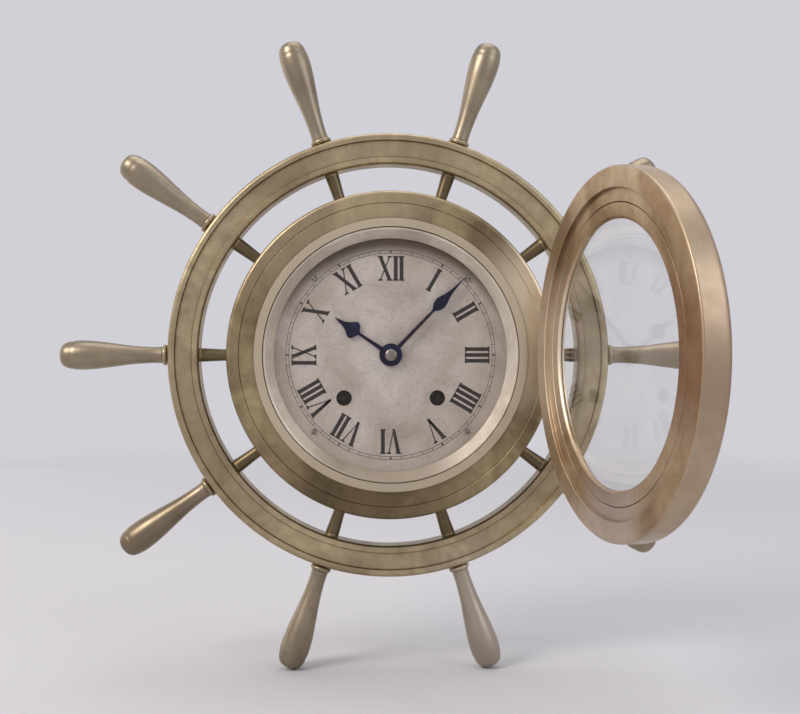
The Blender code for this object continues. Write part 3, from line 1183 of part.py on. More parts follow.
def clean_flats():
    """Merge the flat scraps that the cuts and joins leave, on every piece that has them."""
    for item in bpy.data.collections[COLLECTION].objects:
        if any(step.type == "BOOLEAN" for step in item.modifiers):
            flats = item.modifiers.new("flats", "DECIMATE")
            flats.decimate_type = "DISSOLVE"
            flats.angle_limit = FLAT_ANGLE


def main():
    """Build the whole clock."""
    clear_scene()
    new_collection(COLLECTION)
    new_collection(CUTTERS)
    clock = add_empty("clock", (0.0, 0.0, 0.0), (math.pi / 2, 0.0, 0.0))
    inside = add_empty("movement", (0.0, 0.0, 0.0), (0.0, 0.0, 0.0), clock)
    inside.scale = (MOVEMENT_SCALE, MOVEMENT_SCALE, 1.0)
    brass = make_finish("brass", (0.55, 0.40, 0.20), 0.30, 1.0)
    plate_brass = make_finish("plate_brass", (0.72, 0.55, 0.27), 0.35, 1.0)
    silvered = make_finish("silvered_brass", (0.58, 0.53, 0.49), 0.40, 1.0)
    steel = make_finish("steel", (0.45, 0.45, 0.46), 0.35, 1.0)
    blued = make_finish("blued_steel", (0.02, 0.03, 0.06), 0.30, 1.0)
    glass = make_finish("glass", (0.90, 0.95, 0.92), 0.05, 0.0, 1.0)
    make_wheel(brass)
    make_case(brass, steel)
    make_bezel(brass, glass, steel)
    make_dial(silvered, steel)
    make_hands(blued, steel)
    make_plates(plate_brass, steel)
    make_barrel("time", TIME_BARREL_AT, plate_brass, steel)
    make_barrel("strike", STRIKE_BARREL_AT, plate_brass, steel)
    make_time_train(plate_brass)
    make_motion_work(plate_brass, steel)
    make_escapement(plate_brass)
    make_strike(plate_brass, steel)
    clean_flats()


main()
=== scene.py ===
"""Looks of the ship's wheel clock: turned brass, a silvered dial, blued hands and a glazed bezel.

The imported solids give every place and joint. This script turns finer pieces over those that
show and gives the movement inside its metals. Lengths are in metres, +Z is up, the front
faces -Y, and "out" is a distance from the wall toward the front.
"""

import json
import math

import bpy
from mathutils import Matrix, Vector


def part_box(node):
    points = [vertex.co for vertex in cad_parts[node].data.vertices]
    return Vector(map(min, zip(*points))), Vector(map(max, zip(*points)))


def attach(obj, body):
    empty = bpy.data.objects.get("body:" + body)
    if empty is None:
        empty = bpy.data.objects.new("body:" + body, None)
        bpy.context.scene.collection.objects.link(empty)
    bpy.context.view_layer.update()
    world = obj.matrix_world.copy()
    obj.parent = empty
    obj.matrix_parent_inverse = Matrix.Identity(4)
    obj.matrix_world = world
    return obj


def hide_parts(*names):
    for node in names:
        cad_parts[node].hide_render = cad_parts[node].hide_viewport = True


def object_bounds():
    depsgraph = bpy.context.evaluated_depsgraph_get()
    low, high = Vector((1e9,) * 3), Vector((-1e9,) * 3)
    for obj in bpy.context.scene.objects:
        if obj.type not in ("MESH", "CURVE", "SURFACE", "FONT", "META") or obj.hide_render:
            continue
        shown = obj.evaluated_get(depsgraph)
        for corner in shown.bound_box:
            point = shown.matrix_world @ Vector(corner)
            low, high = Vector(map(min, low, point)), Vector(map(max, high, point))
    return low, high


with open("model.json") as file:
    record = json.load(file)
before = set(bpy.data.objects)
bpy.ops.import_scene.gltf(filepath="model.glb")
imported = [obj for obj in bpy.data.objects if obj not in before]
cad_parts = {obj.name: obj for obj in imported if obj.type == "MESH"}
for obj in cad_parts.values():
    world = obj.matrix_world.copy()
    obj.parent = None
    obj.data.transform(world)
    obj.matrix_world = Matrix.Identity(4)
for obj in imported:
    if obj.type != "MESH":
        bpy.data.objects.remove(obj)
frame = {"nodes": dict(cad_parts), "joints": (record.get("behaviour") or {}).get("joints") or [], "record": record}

CAD_LOW, CAD_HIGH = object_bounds()


def reach(node):
    """Return how far a solid reaches to the right of the clock's axis."""
    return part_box(node)[1].x


def back_of(node):
    """Return how far out from the wall a solid's back lies."""
    return -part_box(node)[1].y


def front_of(node):
    """Return how far out from the wall a solid's front lies."""
    return -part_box(node)[0].y


# Making
TINY = 0.0002
MERGE = 0.000002
SMOOTH_ANGLE = math.radians(32.0)
BIG_SIDES = 192
HANDLE_SIDES = 48
SMALL_SIDES = 32
EDGE = 0.0003
OVERRUN = 0.003
GAP = 0.0003

# Ship's wheel
SPOKE_COUNT = 10
RIM_OUTER = reach("wheel_rim")
RIM_INNER = 0.0950
RIM_BACK = back_of("wheel_rim")
RIM_FRONT = front_of("wheel_rim")
WHEEL_PLANE = (RIM_BACK + RIM_FRONT) / 2
RIM_ROUND = 0.0018
RIM_BEAD_WIDTH = 0.0034
RIM_SINK = 0.0012
RIM_QUIRK = 0.0005
SPOKE_PASS = 0.0030
TIP = reach("spoke_01")
COLLAR_RADIUS = 0.0052
COLLAR_LENGTH = 0.0028
NECK_RADIUS = 0.0040
HANDLE_RADIUS = 0.0073
SPINDLE_END_RADIUS = 0.0034
SPINDLE_WAIST_RADIUS = 0.0029
SPINDLE_FOOT_LENGTH = 0.0016
# Handle outline from the collar (0) to the tip (1), and from the neck (0) to the widest (1)
HANDLE_LENGTH_SHARES = (0.00, 0.06, 0.14, 0.28, 0.46, 0.62, 0.74, 0.84, 0.91, 0.95, 0.975, 0.99)
HANDLE_SWELL_SHARES = (0.05, 0.00, 0.03, 0.18, 0.54, 0.86, 1.00, 0.96, 0.74, 0.44, -0.04, -0.76)
GROOVE_SHARE = 0.86
GROOVE_DEPTH = 0.00025
GROOVE_WIDTH = 0.0009

# Drum case
CASE_FRONT = 0.0530
LIP_FRONT = front_of("case_barrel")
DRUM_BACK = back_of("case_barrel")
DRUM_RADIUS = 0.0715
DRUM_WALL = 0.0030
# The hinge's gate cuts the flange at the right, so its radius is read at the top
FLANGE_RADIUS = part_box("case_barrel")[1].z
FLANGE_DEPTH = 0.0070
FLANGE_COVE = 0.0018
BEZEL_INSET = 0.0030
SCRIBED_RADIUS = 0.0742
LIP_RADIUS = 0.0664
RECESS_RADIUS = 0.0624
RING_BORE = 0.0500
RING_FRONT = 0.0450
RING_BACK = 0.0415
BACK_RING_BORE = 0.0590
BACK_RING_DEPTH = 0.0050
BACK_THICKNESS = front_of("case_back")
KEYHOLE_HEIGHT = 0.0430
KEYHOLE_HEAD_RADIUS = 0.0045
KEYHOLE_SLOT_WIDTH = 0.0044
KEYHOLE_SLOT_RISE = 0.0090
SCREW_HEAD_DEPTH = 0.0014
SCREW_SLOT = 0.0006
SCREW_SLOT_DEPTH = 0.0006

# Bezel, glass and hinge, laid out shut
BEZEL_BACK = 0.0533
BEZEL_FRONT = 0.0663
BEZEL_RADIUS = FLANGE_RADIUS - BEZEL_INSET
BEZEL_BORE = 0.0680
OPENING_RADIUS = 0.0578
OPENING_BEAD = 0.0005
GLASS_SEAT_RADIUS = 0.0623
GLASS_RADIUS = 0.0620
GLASS_EDGE = 0.0010
GLASS_RING_WIDTH = 0.0065
GLASS_RING_BEVEL = 0.0009
GLASS_RING_BACK = 0.0550
GLASS_RING_FRONT = 0.0566
GLASS_BACK = 0.0569
GLASS_FRONT = 0.0589
LIP_BACK = 0.0592
LIP_FACE = 0.0604
# Bezel crown: share of the band from the opening outward, and fall as a share of the depth
CROWN_SHARES = ((0.10, 0.425), (0.30, 0.345), (0.45, 0.250), (0.58, 0.135), (0.68, 0.045),
                (0.76, 0.004), (0.83, 0.008), (0.90, 0.048), (0.95, 0.110), (0.985, 0.190),
                (1.00, 0.280))
HINGE = next(joint for joint in frame["joints"] if joint["name"] == "bezel_hinge")
HINGE_X = HINGE["pos_m"][0]
HINGE_OUT = -HINGE["pos_m"][1]
OPEN_ANGLE = math.radians(-HINGE["range_deg"][0])
KNUCKLE_RADIUS = 0.0025
LEAF_THICKNESS = 0.0022
LEAF_GRIP = 0.0075
NOTCH_CLEARANCE = 0.0006
BEZEL_KNUCKLE_HALF = 0.0045
PIN_RADIUS = 0.0011
PIN_HEAD_RADIUS = 0.0016

# Dial and hands
DIAL_RADIUS = reach("dial")
DIAL_BACK = back_of("dial")
DIAL_FRONT = front_of("dial")
DIAL_BORE = 0.0038
WINDING_HOLE = 0.0038
WINDING_PLACES = ((0.0229, -0.0211), (-0.0229, -0.0211))
SURROUND_BACK = back_of("dial_surround")
SURROUND_FRONT = front_of("dial_surround")
SURROUND_OUTER = reach("dial_surround")
SURROUND_INNER = 0.05715
SURROUND_FOOT = 0.0006
SURROUND_FACE = 0.0010
NUMERAL_INNER = 0.0364
NUMERAL_OUTER = 0.0486
TRACK_INNER = 0.0498
TRACK_OUTER = 0.0513
TRACK_LINE = 0.00022
MINUTE_LINE = 0.00026
FIVE_LINE = 0.00070
INK_SINK = 0.00001
INK_RISE = 0.00003
HOUR_LENGTH = 0.0330
MINUTE_LENGTH = 0.0525
HOUR_BOSS = 0.0056
MINUTE_BOSS = 0.0044
HOUR_PIPE = 0.0036
MINUTE_PIPE = 0.0024
HOUR_WIDTH = 0.0088
MINUTE_WIDTH = 0.0056
STEM_WIDTH = 0.0014
SHOWN_HOURS = 10.0
SHOWN_MINUTES = 7.3
# Spade outline along the hand (share of its length) and across (share of its full width)
SPADE_LENGTH_SHARES = (0.52, 0.565, 0.59, 0.62, 0.66, 0.70, 0.76, 0.83, 0.91, 1.00)
SPADE_WIDTH_SHARES = (0.14, 0.17, 0.44, 0.82, 1.00, 0.93, 0.58, 0.30, 0.16, 0.03)
HAND_ROOT_SHARE = 0.8
HAND_ROOT_WIDTH = 0.0021
# Lettering, in shares of the letters' height
SERIF_SHARE = 0.035
STEM_SHARE = 0.155
HAIR_SHARE = 0.050
LETTER_FOOT_SHARE = 0.22
LEAN_SHARE = 0.20
# Lettering, in shares of the serif, the foot and the stem
BRACKET_SHARE = 2.6
HAIR_FOOT_SHARE = 0.85
POINT_SHARE = 0.7
SPACING_SHARE = 1.06

# Places where a finish is tinted lighter or darker; painted shade and painted light are marked at each
# Painted shadow of the lip on the top of the dial
LIP_SHADE = (0.0, -0.0460, -0.0110)
# Painted shade: the bottom of the flange, which faces down, is tinted dark brown
LOW_FLANGE_SHADE = (-0.0050, -0.0500, -0.0740)
# Painted light: the flange beside the hinge is tinted pale, as light thrown back from the open bezel
HINGE_FLANGE_LIGHT = (0.0700, -0.0500, 0.0150)
# Painted light: the upper left of the flange, toward the light, is tinted lighter
UPPER_FLANGE_LIGHT = (-0.0300, -0.0520, 0.0700)
# Painted shade: the bottom of the bevelled dial ring, away from the light, is tinted darker
LOW_RING_SHADE = (-0.0050, -0.0480, -0.0600)
LOW_LEFT_HANDLE = (-0.1350, -0.0300, -0.0780)
# Painted light: the lower right handle is tinted lighter
LOW_RIGHT_HANDLE_LIGHT = (0.0500, -0.0300, -0.1400)
FREE_EDGE = (-0.0700, -0.0560, -0.0050)
# Painted light: the bezel beside the hinge is tinted pale, a painted reflection
HINGE_EDGE_LIGHT = (0.0700, -0.0560, 0.0)
BEZEL_FOOT = (0.0, -0.0580, -0.0720)

# Camera, room and lamps
SENSOR_MM = 36.0
LENS_MM = 54.0
CAMERA_PLACE = (-0.015, -0.635, -0.001)
CAMERA_TURN = math.radians(-1.9)
PAPER = "#d1d0d7"
ROOM_LIGHT = "#e2e0df"
FLOOR_PAPER = "#cac9cf"
FLOOR_RADIUS = 2.4
FLOOR_SIDES = 96
FLOOR_GAP = 0.0004
FADE_START = 0.30
FADE_END = 1.6
# Lamps: name, place, aim, size, watts and colour
LAMPS = (
    ("key_lamp", (-1.15, -1.0, 1.05), (0.0, 0.0, 0.0), 0.7, 16.0, "#fffaf2"),
    ("fill_lamp", (1.1, -0.9, 0.7), (0.0, 0.0, 0.0), 0.9, 4.5, "#f3f6ff"),
    ("top_lamp", (0.1, 0.1, 1.5), (0.0, -0.03, 0.0), 1.2, 8.0, "#ffffff"),
    ("side_lamp", (-0.85, 0.60, 0.10), (0.09, -0.13, 0.0), 1.2, 3.0, "#fff8f0"))


def deselect():
    """Leave edit mode and select nothing."""
    if bpy.context.mode != "OBJECT":
        bpy.ops.object.mode_set(mode="OBJECT")
    bpy.ops.object.select_all(action="DESELECT")


def pick(*pieces):
    """Select these pieces alone, the first one active."""
    deselect()
    for piece in pieces:
        piece.select_set(True)
    bpy.context.view_layer.objects.active = pieces[0]


def start_point(name, place):
    """Start a piece as one point, in edit mode."""
    deselect()
    bpy.ops.mesh.primitive_plane_add(size=TINY)
    piece = bpy.context.object
    piece.name = name
    bpy.ops.object.mode_set(mode="EDIT")
    bpy.ops.mesh.select_all(action="SELECT")
    bpy.ops.mesh.merge(type="CENTER")
    bpy.ops.transform.translate(value=place)
    return piece


def draw_on(path):
    """Extrude the chosen point along a path of places."""
    for start, end in zip(path, path[1:]):
        step = [b - a for a, b in zip(start, end)]
        bpy.ops.mesh.extrude_region_move(TRANSFORM_OT_translate={"value": step})


def lathe(name, path, axis, sides, centre=(0.0, 0.0, 0.0)):
    """Spin a path of places once round an axis and close the seam."""
    piece = start_point(name, path[0])
    draw_on(path)
    bpy.ops.mesh.select_all(action="SELECT")
    bpy.ops.mesh.spin(steps=sides, angle=2 * math.pi, center=centre, axis=axis)
    bpy.ops.mesh.select_all(action="SELECT")
    bpy.ops.mesh.remove_doubles(threshold=MERGE)
    bpy.ops.mesh.normals_make_consistent(inside=False)
    bpy.ops.object.mode_set(mode="OBJECT")
    return piece


def turned(name, outline, sides=BIG_SIDES, ring=False):
    """Turn an outline of (radius, out) points round the clock's axis."""
    path = [(radius, -out, 0.0) for radius, out in outline]
    if ring:
        path.append(path[0])
    return lathe(name, path, (0.0, 1.0, 0.0), sides)


def arc(centre, radius, start, end, steps=6):
    """Return points along an arc; the angles are in degrees."""
    turns = [math.radians(start + (end - start) * index / steps) for index in range(steps + 1)]
    return [(centre[0] + radius * math.cos(turn), centre[1] + radius * math.sin(turn))
            for turn in turns]


def flowing(points, steps=5):
    """Return a smooth run of points through the given ones."""
    padded = [points[0]] + list(points) + [points[-1]]
    run = []
    for a, b, c, d in zip(padded, padded[1:], padded[2:], padded[3:]):
        for index in range(steps):
            t = index / steps
            run.append(tuple(
                0.5 * (2 * q + (r - p) * t + (2 * p - 5 * q + 4 * r - s) * t ** 2
                       + (3 * q - p - 3 * r + s) * t ** 3)
                for p, q, r, s in zip(a, b, c, d)))
    run.append(tuple(points[-1]))
    return run


def apply_modifiers(piece):
    """Apply every modifier that a piece carries."""
    pick(piece)
    for name in [modifier.name for modifier in piece.modifiers]:
        bpy.ops.object.modifier_apply(modifier=name)


def round_edges(piece, width=EDGE, segments=3):
    """Break the sharp edges as a maker's file does."""
    edges = piece.modifiers.new("edges", "BEVEL")
    edges.width = width
    edges.segments = segments
    edges.limit_method = "ANGLE"
    edges.angle_limit = SMOOTH_ANGLE
    edges.use_clamp_overlap = True
    apply_modifiers(piece)


def combine(piece, tool, operation):
    """Cut with a tool piece or join it on, and put the tool away."""
    step = piece.modifiers.new("combine", "BOOLEAN")
    step.operation = operation
    step.solver = "EXACT"
    step.object = tool
    apply_modifiers(piece)
    bpy.data.objects.remove(tool)


def join(pieces):
    """Join pieces into the first one."""
    pick(*pieces)
    bpy.ops.object.join()
    return pieces[0]


def duplicate(piece, name):
    """Copy a piece with a mesh of its own."""
    twin = piece.copy()
    twin.data = piece.data.copy()
    twin.name = name
    bpy.context.collection.objects.link(twin)
    return twin


def settle(piece):
    """Put a piece's place into its mesh and leave its object at the origin."""
    pick(piece)
    bpy.ops.object.transform_apply(location=True, rotation=True, scale=True)


def move(piece, matrix):
    """Move a piece by a matrix and settle it there."""
    piece.matrix_world = matrix @ piece.matrix_world
    settle(piece)


def rod(name, start, end, radius, sides=SMALL_SIDES):
    """Add a cylinder from one place to another."""
    deselect()
    span = Vector(end) - Vector(start)
    bpy.ops.mesh.primitive_cylinder_add(vertices=sides, radius=radius, depth=span.length)
    piece = bpy.context.object
    piece.name = name
    turn = span.to_track_quat("Z", "Y").to_matrix().to_4x4()
    move(piece, Matrix.Translation((Vector(start) + Vector(end)) / 2) @ turn)
    return piece


def slab(name, low, high):
    """Add a block between two corners."""
    deselect()
    bpy.ops.mesh.primitive_cube_add(size=1.0)
    piece = bpy.context.object
    piece.name = name
    middle = (Vector(low) + Vector(high)) / 2
    size = Vector(high) - Vector(low)
    move(piece, Matrix.Translation(middle) @ Matrix.Diagonal((*size, 1.0)))
    return piece


def place(piece, body, finish, slot, *nodes):
    """Give a piece its finish and its body, and hide the solids that it stands for; the slot is not used."""
    settle(piece)
    piece.data.materials.clear()
    piece.data.materials.append(finish)
    pick(piece)
    bpy.ops.object.shade_smooth_by_angle(angle=SMOOTH_ANGLE)
    flats = piece.modifiers.new("flats", "WEIGHTED_NORMAL")
    flats.keep_sharp = True
    apply_modifiers(piece)
    deselect()
    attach(piece, body)
    if nodes:
        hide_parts(*nodes)


def linear(code):
    """Return a linear colour from an sRGB hex code."""
    channels = [int(code[index:index + 2], 16) / 255 for index in (1, 3, 5)]
    toned = [c / 12.92 if c <= 0.04045 else ((c + 0.055) / 1.055) ** 2.4 for c in channels]
    return (*toned, 1.0)


def add_node(tree, kind, inputs=None, **settings):
    """Add a node with its settings; an input is a value or another node's output."""
    node = tree.nodes.new(kind)
    for name, value in settings.items():
        setattr(node, name, value)
    for name, value in (inputs or {}).items():
        if isinstance(value, bpy.types.NodeSocket):
            tree.links.new(value, node.inputs[name])
        else:
            node.inputs[name].default_value = value
    return node


def new_finish(name):
    """Return a new material, its node tree and its shader."""
    finish = bpy.data.materials.new(name)
    finish.use_nodes = True
    tree = finish.node_tree
    return finish, tree, tree.nodes["Principled BSDF"]


def ramp(tree, factor, stops):
    """Add a colour ramp from (place, hex) stops."""
    node = add_node(tree, "ShaderNodeValToRGB", {"Fac": factor})
    band = node.color_ramp
    while len(band.elements) < len(stops):
        band.elements.new(1.0)
    for element, (spot, code) in zip(band.elements, stops):
        element.position = spot
        element.color = linear(code)
    return node.outputs["Color"]


def spread(tree, value, low, high):
    """Map a 0 to 1 value to a range."""
    node = add_node(tree, "ShaderNodeMapRange", {"Value": value, "To Min": low, "To Max": high})
    return node.outputs["Result"]


def noise(tree, spot, millimetres, detail, roughness=0.5, distortion=0.0):
    """Return noise whose features are about this many millimetres across."""
    return add_node(tree, "ShaderNodeTexNoise", {
        "Vector": spot, "Scale": 1000.0 / millimetres, "Detail": detail,
        "Roughness": roughness, "Distortion": distortion}).outputs["Fac"]


def ring_noise(tree, away, millimetres, detail, roughness):
    """Return noise that runs in rings round the axis, each about this many millimetres wide."""
    return add_node(tree, "ShaderNodeTexNoise", {
        "W": away, "Scale": 1000.0 / millimetres, "Detail": detail, "Roughness": roughness},
        noise_dimensions="1D").outputs["Fac"]


def blend(tree, share, colour, code):
    """Mix a second colour into the first by a share."""
    return add_node(tree, "ShaderNodeMix", {
        "Factor": share, "A": colour, "B": linear(code)}, data_type="RGBA").outputs["Result"]


def total(tree, first, second):
    """Add two values."""
    return add_node(tree, "ShaderNodeMath", {0: first, 1: second},
                    operation="ADD").outputs["Value"]


def emboss(tree, shader, height, strength, depth):
    """Give a finish its fine relief from a height between 0 and 1."""
    bump = add_node(tree, "ShaderNodeBump", {
        "Strength": strength, "Distance": depth, "Height": height})
    tree.links.new(bump.outputs["Normal"], shader.inputs["Normal"])


def piece_coordinates(tree, shift=None):
    """Return a piece's object coordinates, moved onto the clock's axis if it has swung."""
    coordinates = add_node(tree, "ShaderNodeTexCoord").outputs["Object"]
    if shift is None:
        return coordinates
    mapping = add_node(tree, "ShaderNodeMapping", {
        "Vector": coordinates, "Location": shift.to_translation(), "Rotation": shift.to_euler()})
    return mapping.outputs["Vector"]


def axis_distance(tree, coordinates):
    """Return the distance from the clock's axis."""
    flat = add_node(tree, "ShaderNodeVectorMath", {0: coordinates, 1: (1.0, 0.0, 1.0)},
                    operation="MULTIPLY")
    length = add_node(tree, "ShaderNodeVectorMath", {0: flat.outputs["Vector"]},
                      operation="LENGTH")
    return length.outputs["Value"]


def point_distance(tree, coordinates, point):
    """Return the distance from a point."""
    span = add_node(tree, "ShaderNodeVectorMath", {0: coordinates, 1: point},
                    operation="DISTANCE")
    return span.outputs["Value"]


def tint(tree, colour, distance, near, far, code, amount):
    """Mix a colour in from the near distance, full at the far one."""
    share = add_node(tree, "ShaderNodeMapRange", {
        "Value": distance, "From Min": near, "From Max": far, "To Max": amount},
        interpolation_type="SMOOTHSTEP")
    return blend(tree, share.outputs["Result"], colour, code)


def aged_brass(name, clean, worn, tarnish, dirt, roughness, shift=None, streak=0.5,
               zones=(), grime_depth=0.85, metallic=1.0):
    """Cast brass, turned and polished, then left to dull.

    The eye gets a yellow metal with soft brown clouds, dark grime in the corners and fine
    lathe rings that draw the highlights out. A zone tints a place lighter or darker, some as
    painted shade or painted light: its middle (none for the clock's axis), near and far
    distance, colour and strength.
    """
    finish, tree, shader = new_finish(name)
    spot = piece_coordinates(tree, shift)
    clouds = noise(tree, spot, 34.0, 6.0, 0.62, 0.8)
    blotches = noise(tree, spot, 6.5, 5.0, 0.6)
    rings = ring_noise(tree, axis_distance(tree, spot), 0.7, 3.0, 0.7)
    pits = noise(tree, spot, 0.9, 2.0)
    toned = ramp(tree, clouds, ((0.36, clean), (0.50, worn), (0.66, tarnish)))
    colour = blend(tree, spread(tree, blotches, -0.55, 0.95), toned, tarnish)
    for middle, near, far, code, amount in zones:
        if middle is None:
            away = axis_distance(tree, spot)
        else:
            away = point_distance(tree, spot, middle)
        colour = tint(tree, colour, away, near, far, code, amount)
    corner = add_node(tree, "ShaderNodeAmbientOcclusion", {"Distance": 0.0035}, samples=6,
                      only_local=True).outputs["AO"]
    grime = add_node(tree, "ShaderNodeMapRange", {
        "Value": corner, "From Min": 0.35, "From Max": 0.85, "To Min": grime_depth,
        "To Max": 0.0})
    tree.links.new(blend(tree, grime.outputs["Result"], colour, dirt),
                   shader.inputs["Base Color"])
    uneven = total(tree, spread(tree, blotches, roughness - 0.10, roughness + 0.14),
                   spread(tree, rings, -0.05 * streak, 0.09 * streak))
    tree.links.new(uneven, shader.inputs["Roughness"])
    shader.inputs["Metallic"].default_value = metallic
    relief = total(tree, spread(tree, rings, 0.0, streak), spread(tree, pits, 0.0, 0.18))
    emboss(tree, shader, relief, 0.30, 0.00006)
    return finish


def silvered_dial_finish(name, shift=None):
    """Brass, silvered with a rubbed paste and lacquered.

    The eye gets a soft grey metal with a pink cast, rubbed in rings, cloudier and browner
    toward the edge where the lacquer has yellowed, and a painted shadow of the lip: a dark
    brown crescent at the top.
    """
    finish, tree, shader = new_finish(name)
    spot = piece_coordinates(tree, shift)
    away = axis_distance(tree, spot)
    rubbing = ring_noise(tree, away, 0.9, 4.0, 0.8)
    clouds = noise(tree, spot, 22.0, 5.0, 0.6, 0.5)
    freckles = noise(tree, spot, 1.6, 3.0)
    toned = ramp(tree, clouds, ((0.34, "#d2c8c0"), (0.52, "#c2b7ae"), (0.70, "#ada197")))
    edge = add_node(tree, "ShaderNodeMapRange", {
        "Value": away, "From Min": 0.040, "From Max": 0.062, "To Min": 0.0, "To Max": 0.45})
    yellowed = blend(tree, edge.outputs["Result"], toned, "#9a8672")
    speckled = blend(tree, spread(tree, freckles, -0.5, 0.55), yellowed, "#8d7e70")
    # Painted shadow: a dark brown crescent at the top of the dial, where the lip's shadow falls
    shaded = tint(tree, speckled, point_distance(tree, spot, LIP_SHADE), 0.0585, 0.0665,
                  "#4f4033", 0.92)
    tree.links.new(shaded, shader.inputs["Base Color"])
    uneven = total(tree, spread(tree, rubbing, 0.34, 0.50), spread(tree, clouds, -0.05, 0.08))
    tree.links.new(uneven, shader.inputs["Roughness"])
    shader.inputs["Metallic"].default_value = 0.45
    emboss(tree, shader, rubbing, 0.22, 0.00004)
    return finish


def dial_wax(name):
    """Black engraver's wax in the dial's lines.

    The eye gets a flat brown black that has thinned to the metal here and there.
    """
    finish, tree, shader = new_finish(name)
    wear = noise(tree, piece_coordinates(tree), 2.2, 4.0, 0.65)
    tree.links.new(ramp(tree, wear, ((0.45, "#2b2624"), (0.66, "#3d3633"), (0.80, "#6d6058"))),
                   shader.inputs["Base Color"])
    tree.links.new(spread(tree, wear, 0.42, 0.66), shader.inputs["Roughness"])
    shader.inputs["Metallic"].default_value = 0.0
    return finish


def blued_steel(name):
    """Steel, polished and then blued by heat.

    The eye gets an almost black blue with a violet drift and a sharp gloss.
    """
    finish, tree, shader = new_finish(name)
    spot = piece_coordinates(tree)
    drift = noise(tree, spot, 9.0, 3.0)
    grain = noise(tree, spot, 0.5, 2.0)
    tree.links.new(ramp(tree, drift, ((0.35, "#3a3d52"), (0.55, "#34323f"), (0.72, "#463b45"))),
                   shader.inputs["Base Color"])
    tree.links.new(spread(tree, grain, 0.24, 0.42), shader.inputs["Roughness"])
    shader.inputs["Metallic"].default_value = 1.0
    return finish


def plain_steel(name, light, dark, roughness):
    """Carbon steel, turned and polished.

    The eye gets a cool grey with fine cutting marks and a few darker spots.
    """
    finish, tree, shader = new_finish(name)
    spot = piece_coordinates(tree)
    spots = noise(tree, spot, 2.4, 5.0, 0.7)
    marks = noise(tree, spot, 0.35, 2.0)
    tree.links.new(ramp(tree, spots, ((0.42, light), (0.72, dark))), shader.inputs["Base Color"])
    tree.links.new(spread(tree, marks, roughness - 0.08, roughness + 0.10),
                   shader.inputs["Roughness"])
    shader.inputs["Metallic"].default_value = 1.0
    emboss(tree, shader, marks, 0.2, 0.00002)
    return finish


def movement_brass(name):
    """Clock brass, milled and lacquered.

    The eye gets a clean yellow with a straight milled grain.
    """
    finish, tree, shader = new_finish(name)
    spot = piece_coordinates(tree)
    grain = add_node(tree, "ShaderNodeMapping", {
        "Vector": spot, "Scale": (0.15, 1.0, 1.0)}).outputs["Vector"]
    lines = noise(tree, grain, 0.4, 3.0, 0.7)
    tone = noise(tree, spot, 14.0, 3.0)
    tree.links.new(ramp(tree, tone, ((0.35, "#dcc184"), (0.65, "#c6a765"))),
                   shader.inputs["Base Color"])
    tree.links.new(spread(tree, lines, 0.26, 0.44), shader.inputs["Roughness"])
    shader.inputs["Metallic"].default_value = 1.0
    emboss(tree, shader, lines, 0.25, 0.00002)
    return finish


def window_glass(name, shift):
    """Float glass, ground round its edge.

    The eye gets a clear pane with a faint green cast and a little wiped dust.
    """
    finish, tree, shader = new_finish(name)
    smears = noise(tree, piece_coordinates(tree, shift), 18.0, 4.0, distortion=1.2)
    tree.links.new(ramp(tree, smears, ((0.40, "#ffffff"), (0.75, "#f9fdfa"))),
                   shader.inputs["Base Color"])
    tree.links.new(spread(tree, smears, 0.0, 0.015), shader.inputs["Roughness"])
    shader.inputs["Transmission Weight"].default_value = 1.0
    shader.inputs["IOR"].default_value = 1.5
    return finish


def swing():
    """Return the movement that opens the bezel from shut to as shown."""
    pivot = Vector((HINGE_X, -HINGE_OUT, 0.0))
    turn = Matrix.Rotation(OPEN_ANGLE, 4, "Z")
    return Matrix.Translation(pivot) @ turn @ Matrix.Translation(-pivot)


def rim_outline():
    """Return the rim's outline: a sunk face between two beads, and a plain rounded back."""
    outer = RIM_OUTER - RIM_ROUND
    inner = RIM_INNER + RIM_ROUND
    floor = RIM_FRONT - RIM_SINK
    outline = arc((outer, RIM_BACK + RIM_ROUND), RIM_ROUND, -90.0, 0.0)
    outline += arc((outer, RIM_FRONT - RIM_ROUND), RIM_ROUND, 0.0, 90.0)
    outline += [(RIM_OUTER - RIM_BEAD_WIDTH, RIM_FRONT),
                (RIM_OUTER - RIM_BEAD_WIDTH - RIM_QUIRK, floor),
                (RIM_INNER + RIM_BEAD_WIDTH + RIM_QUIRK, floor),
                (RIM_INNER + RIM_BEAD_WIDTH, RIM_FRONT)]
    outline += arc((inner, RIM_FRONT - RIM_ROUND), RIM_ROUND, 90.0, 180.0)
    outline += arc((inner, RIM_BACK + RIM_ROUND), RIM_ROUND, 180.0, 270.0)
    return outline


def radial_rods(name, start, end, radius):
    """Return one tool of ten rods that lie along the spokes."""
    first = rod(name, (start, -WHEEL_PLANE, 0.0), (end, -WHEEL_PLANE, 0.0), radius)
    rods = [first]
    for index in range(1, SPOKE_COUNT):
        twin = duplicate(first, f"{name}_{index}")
        move(twin, Matrix.Rotation(-2 * math.pi * index / SPOKE_COUNT, 4, "Y"))
        rods.append(twin)
    return join(rods)


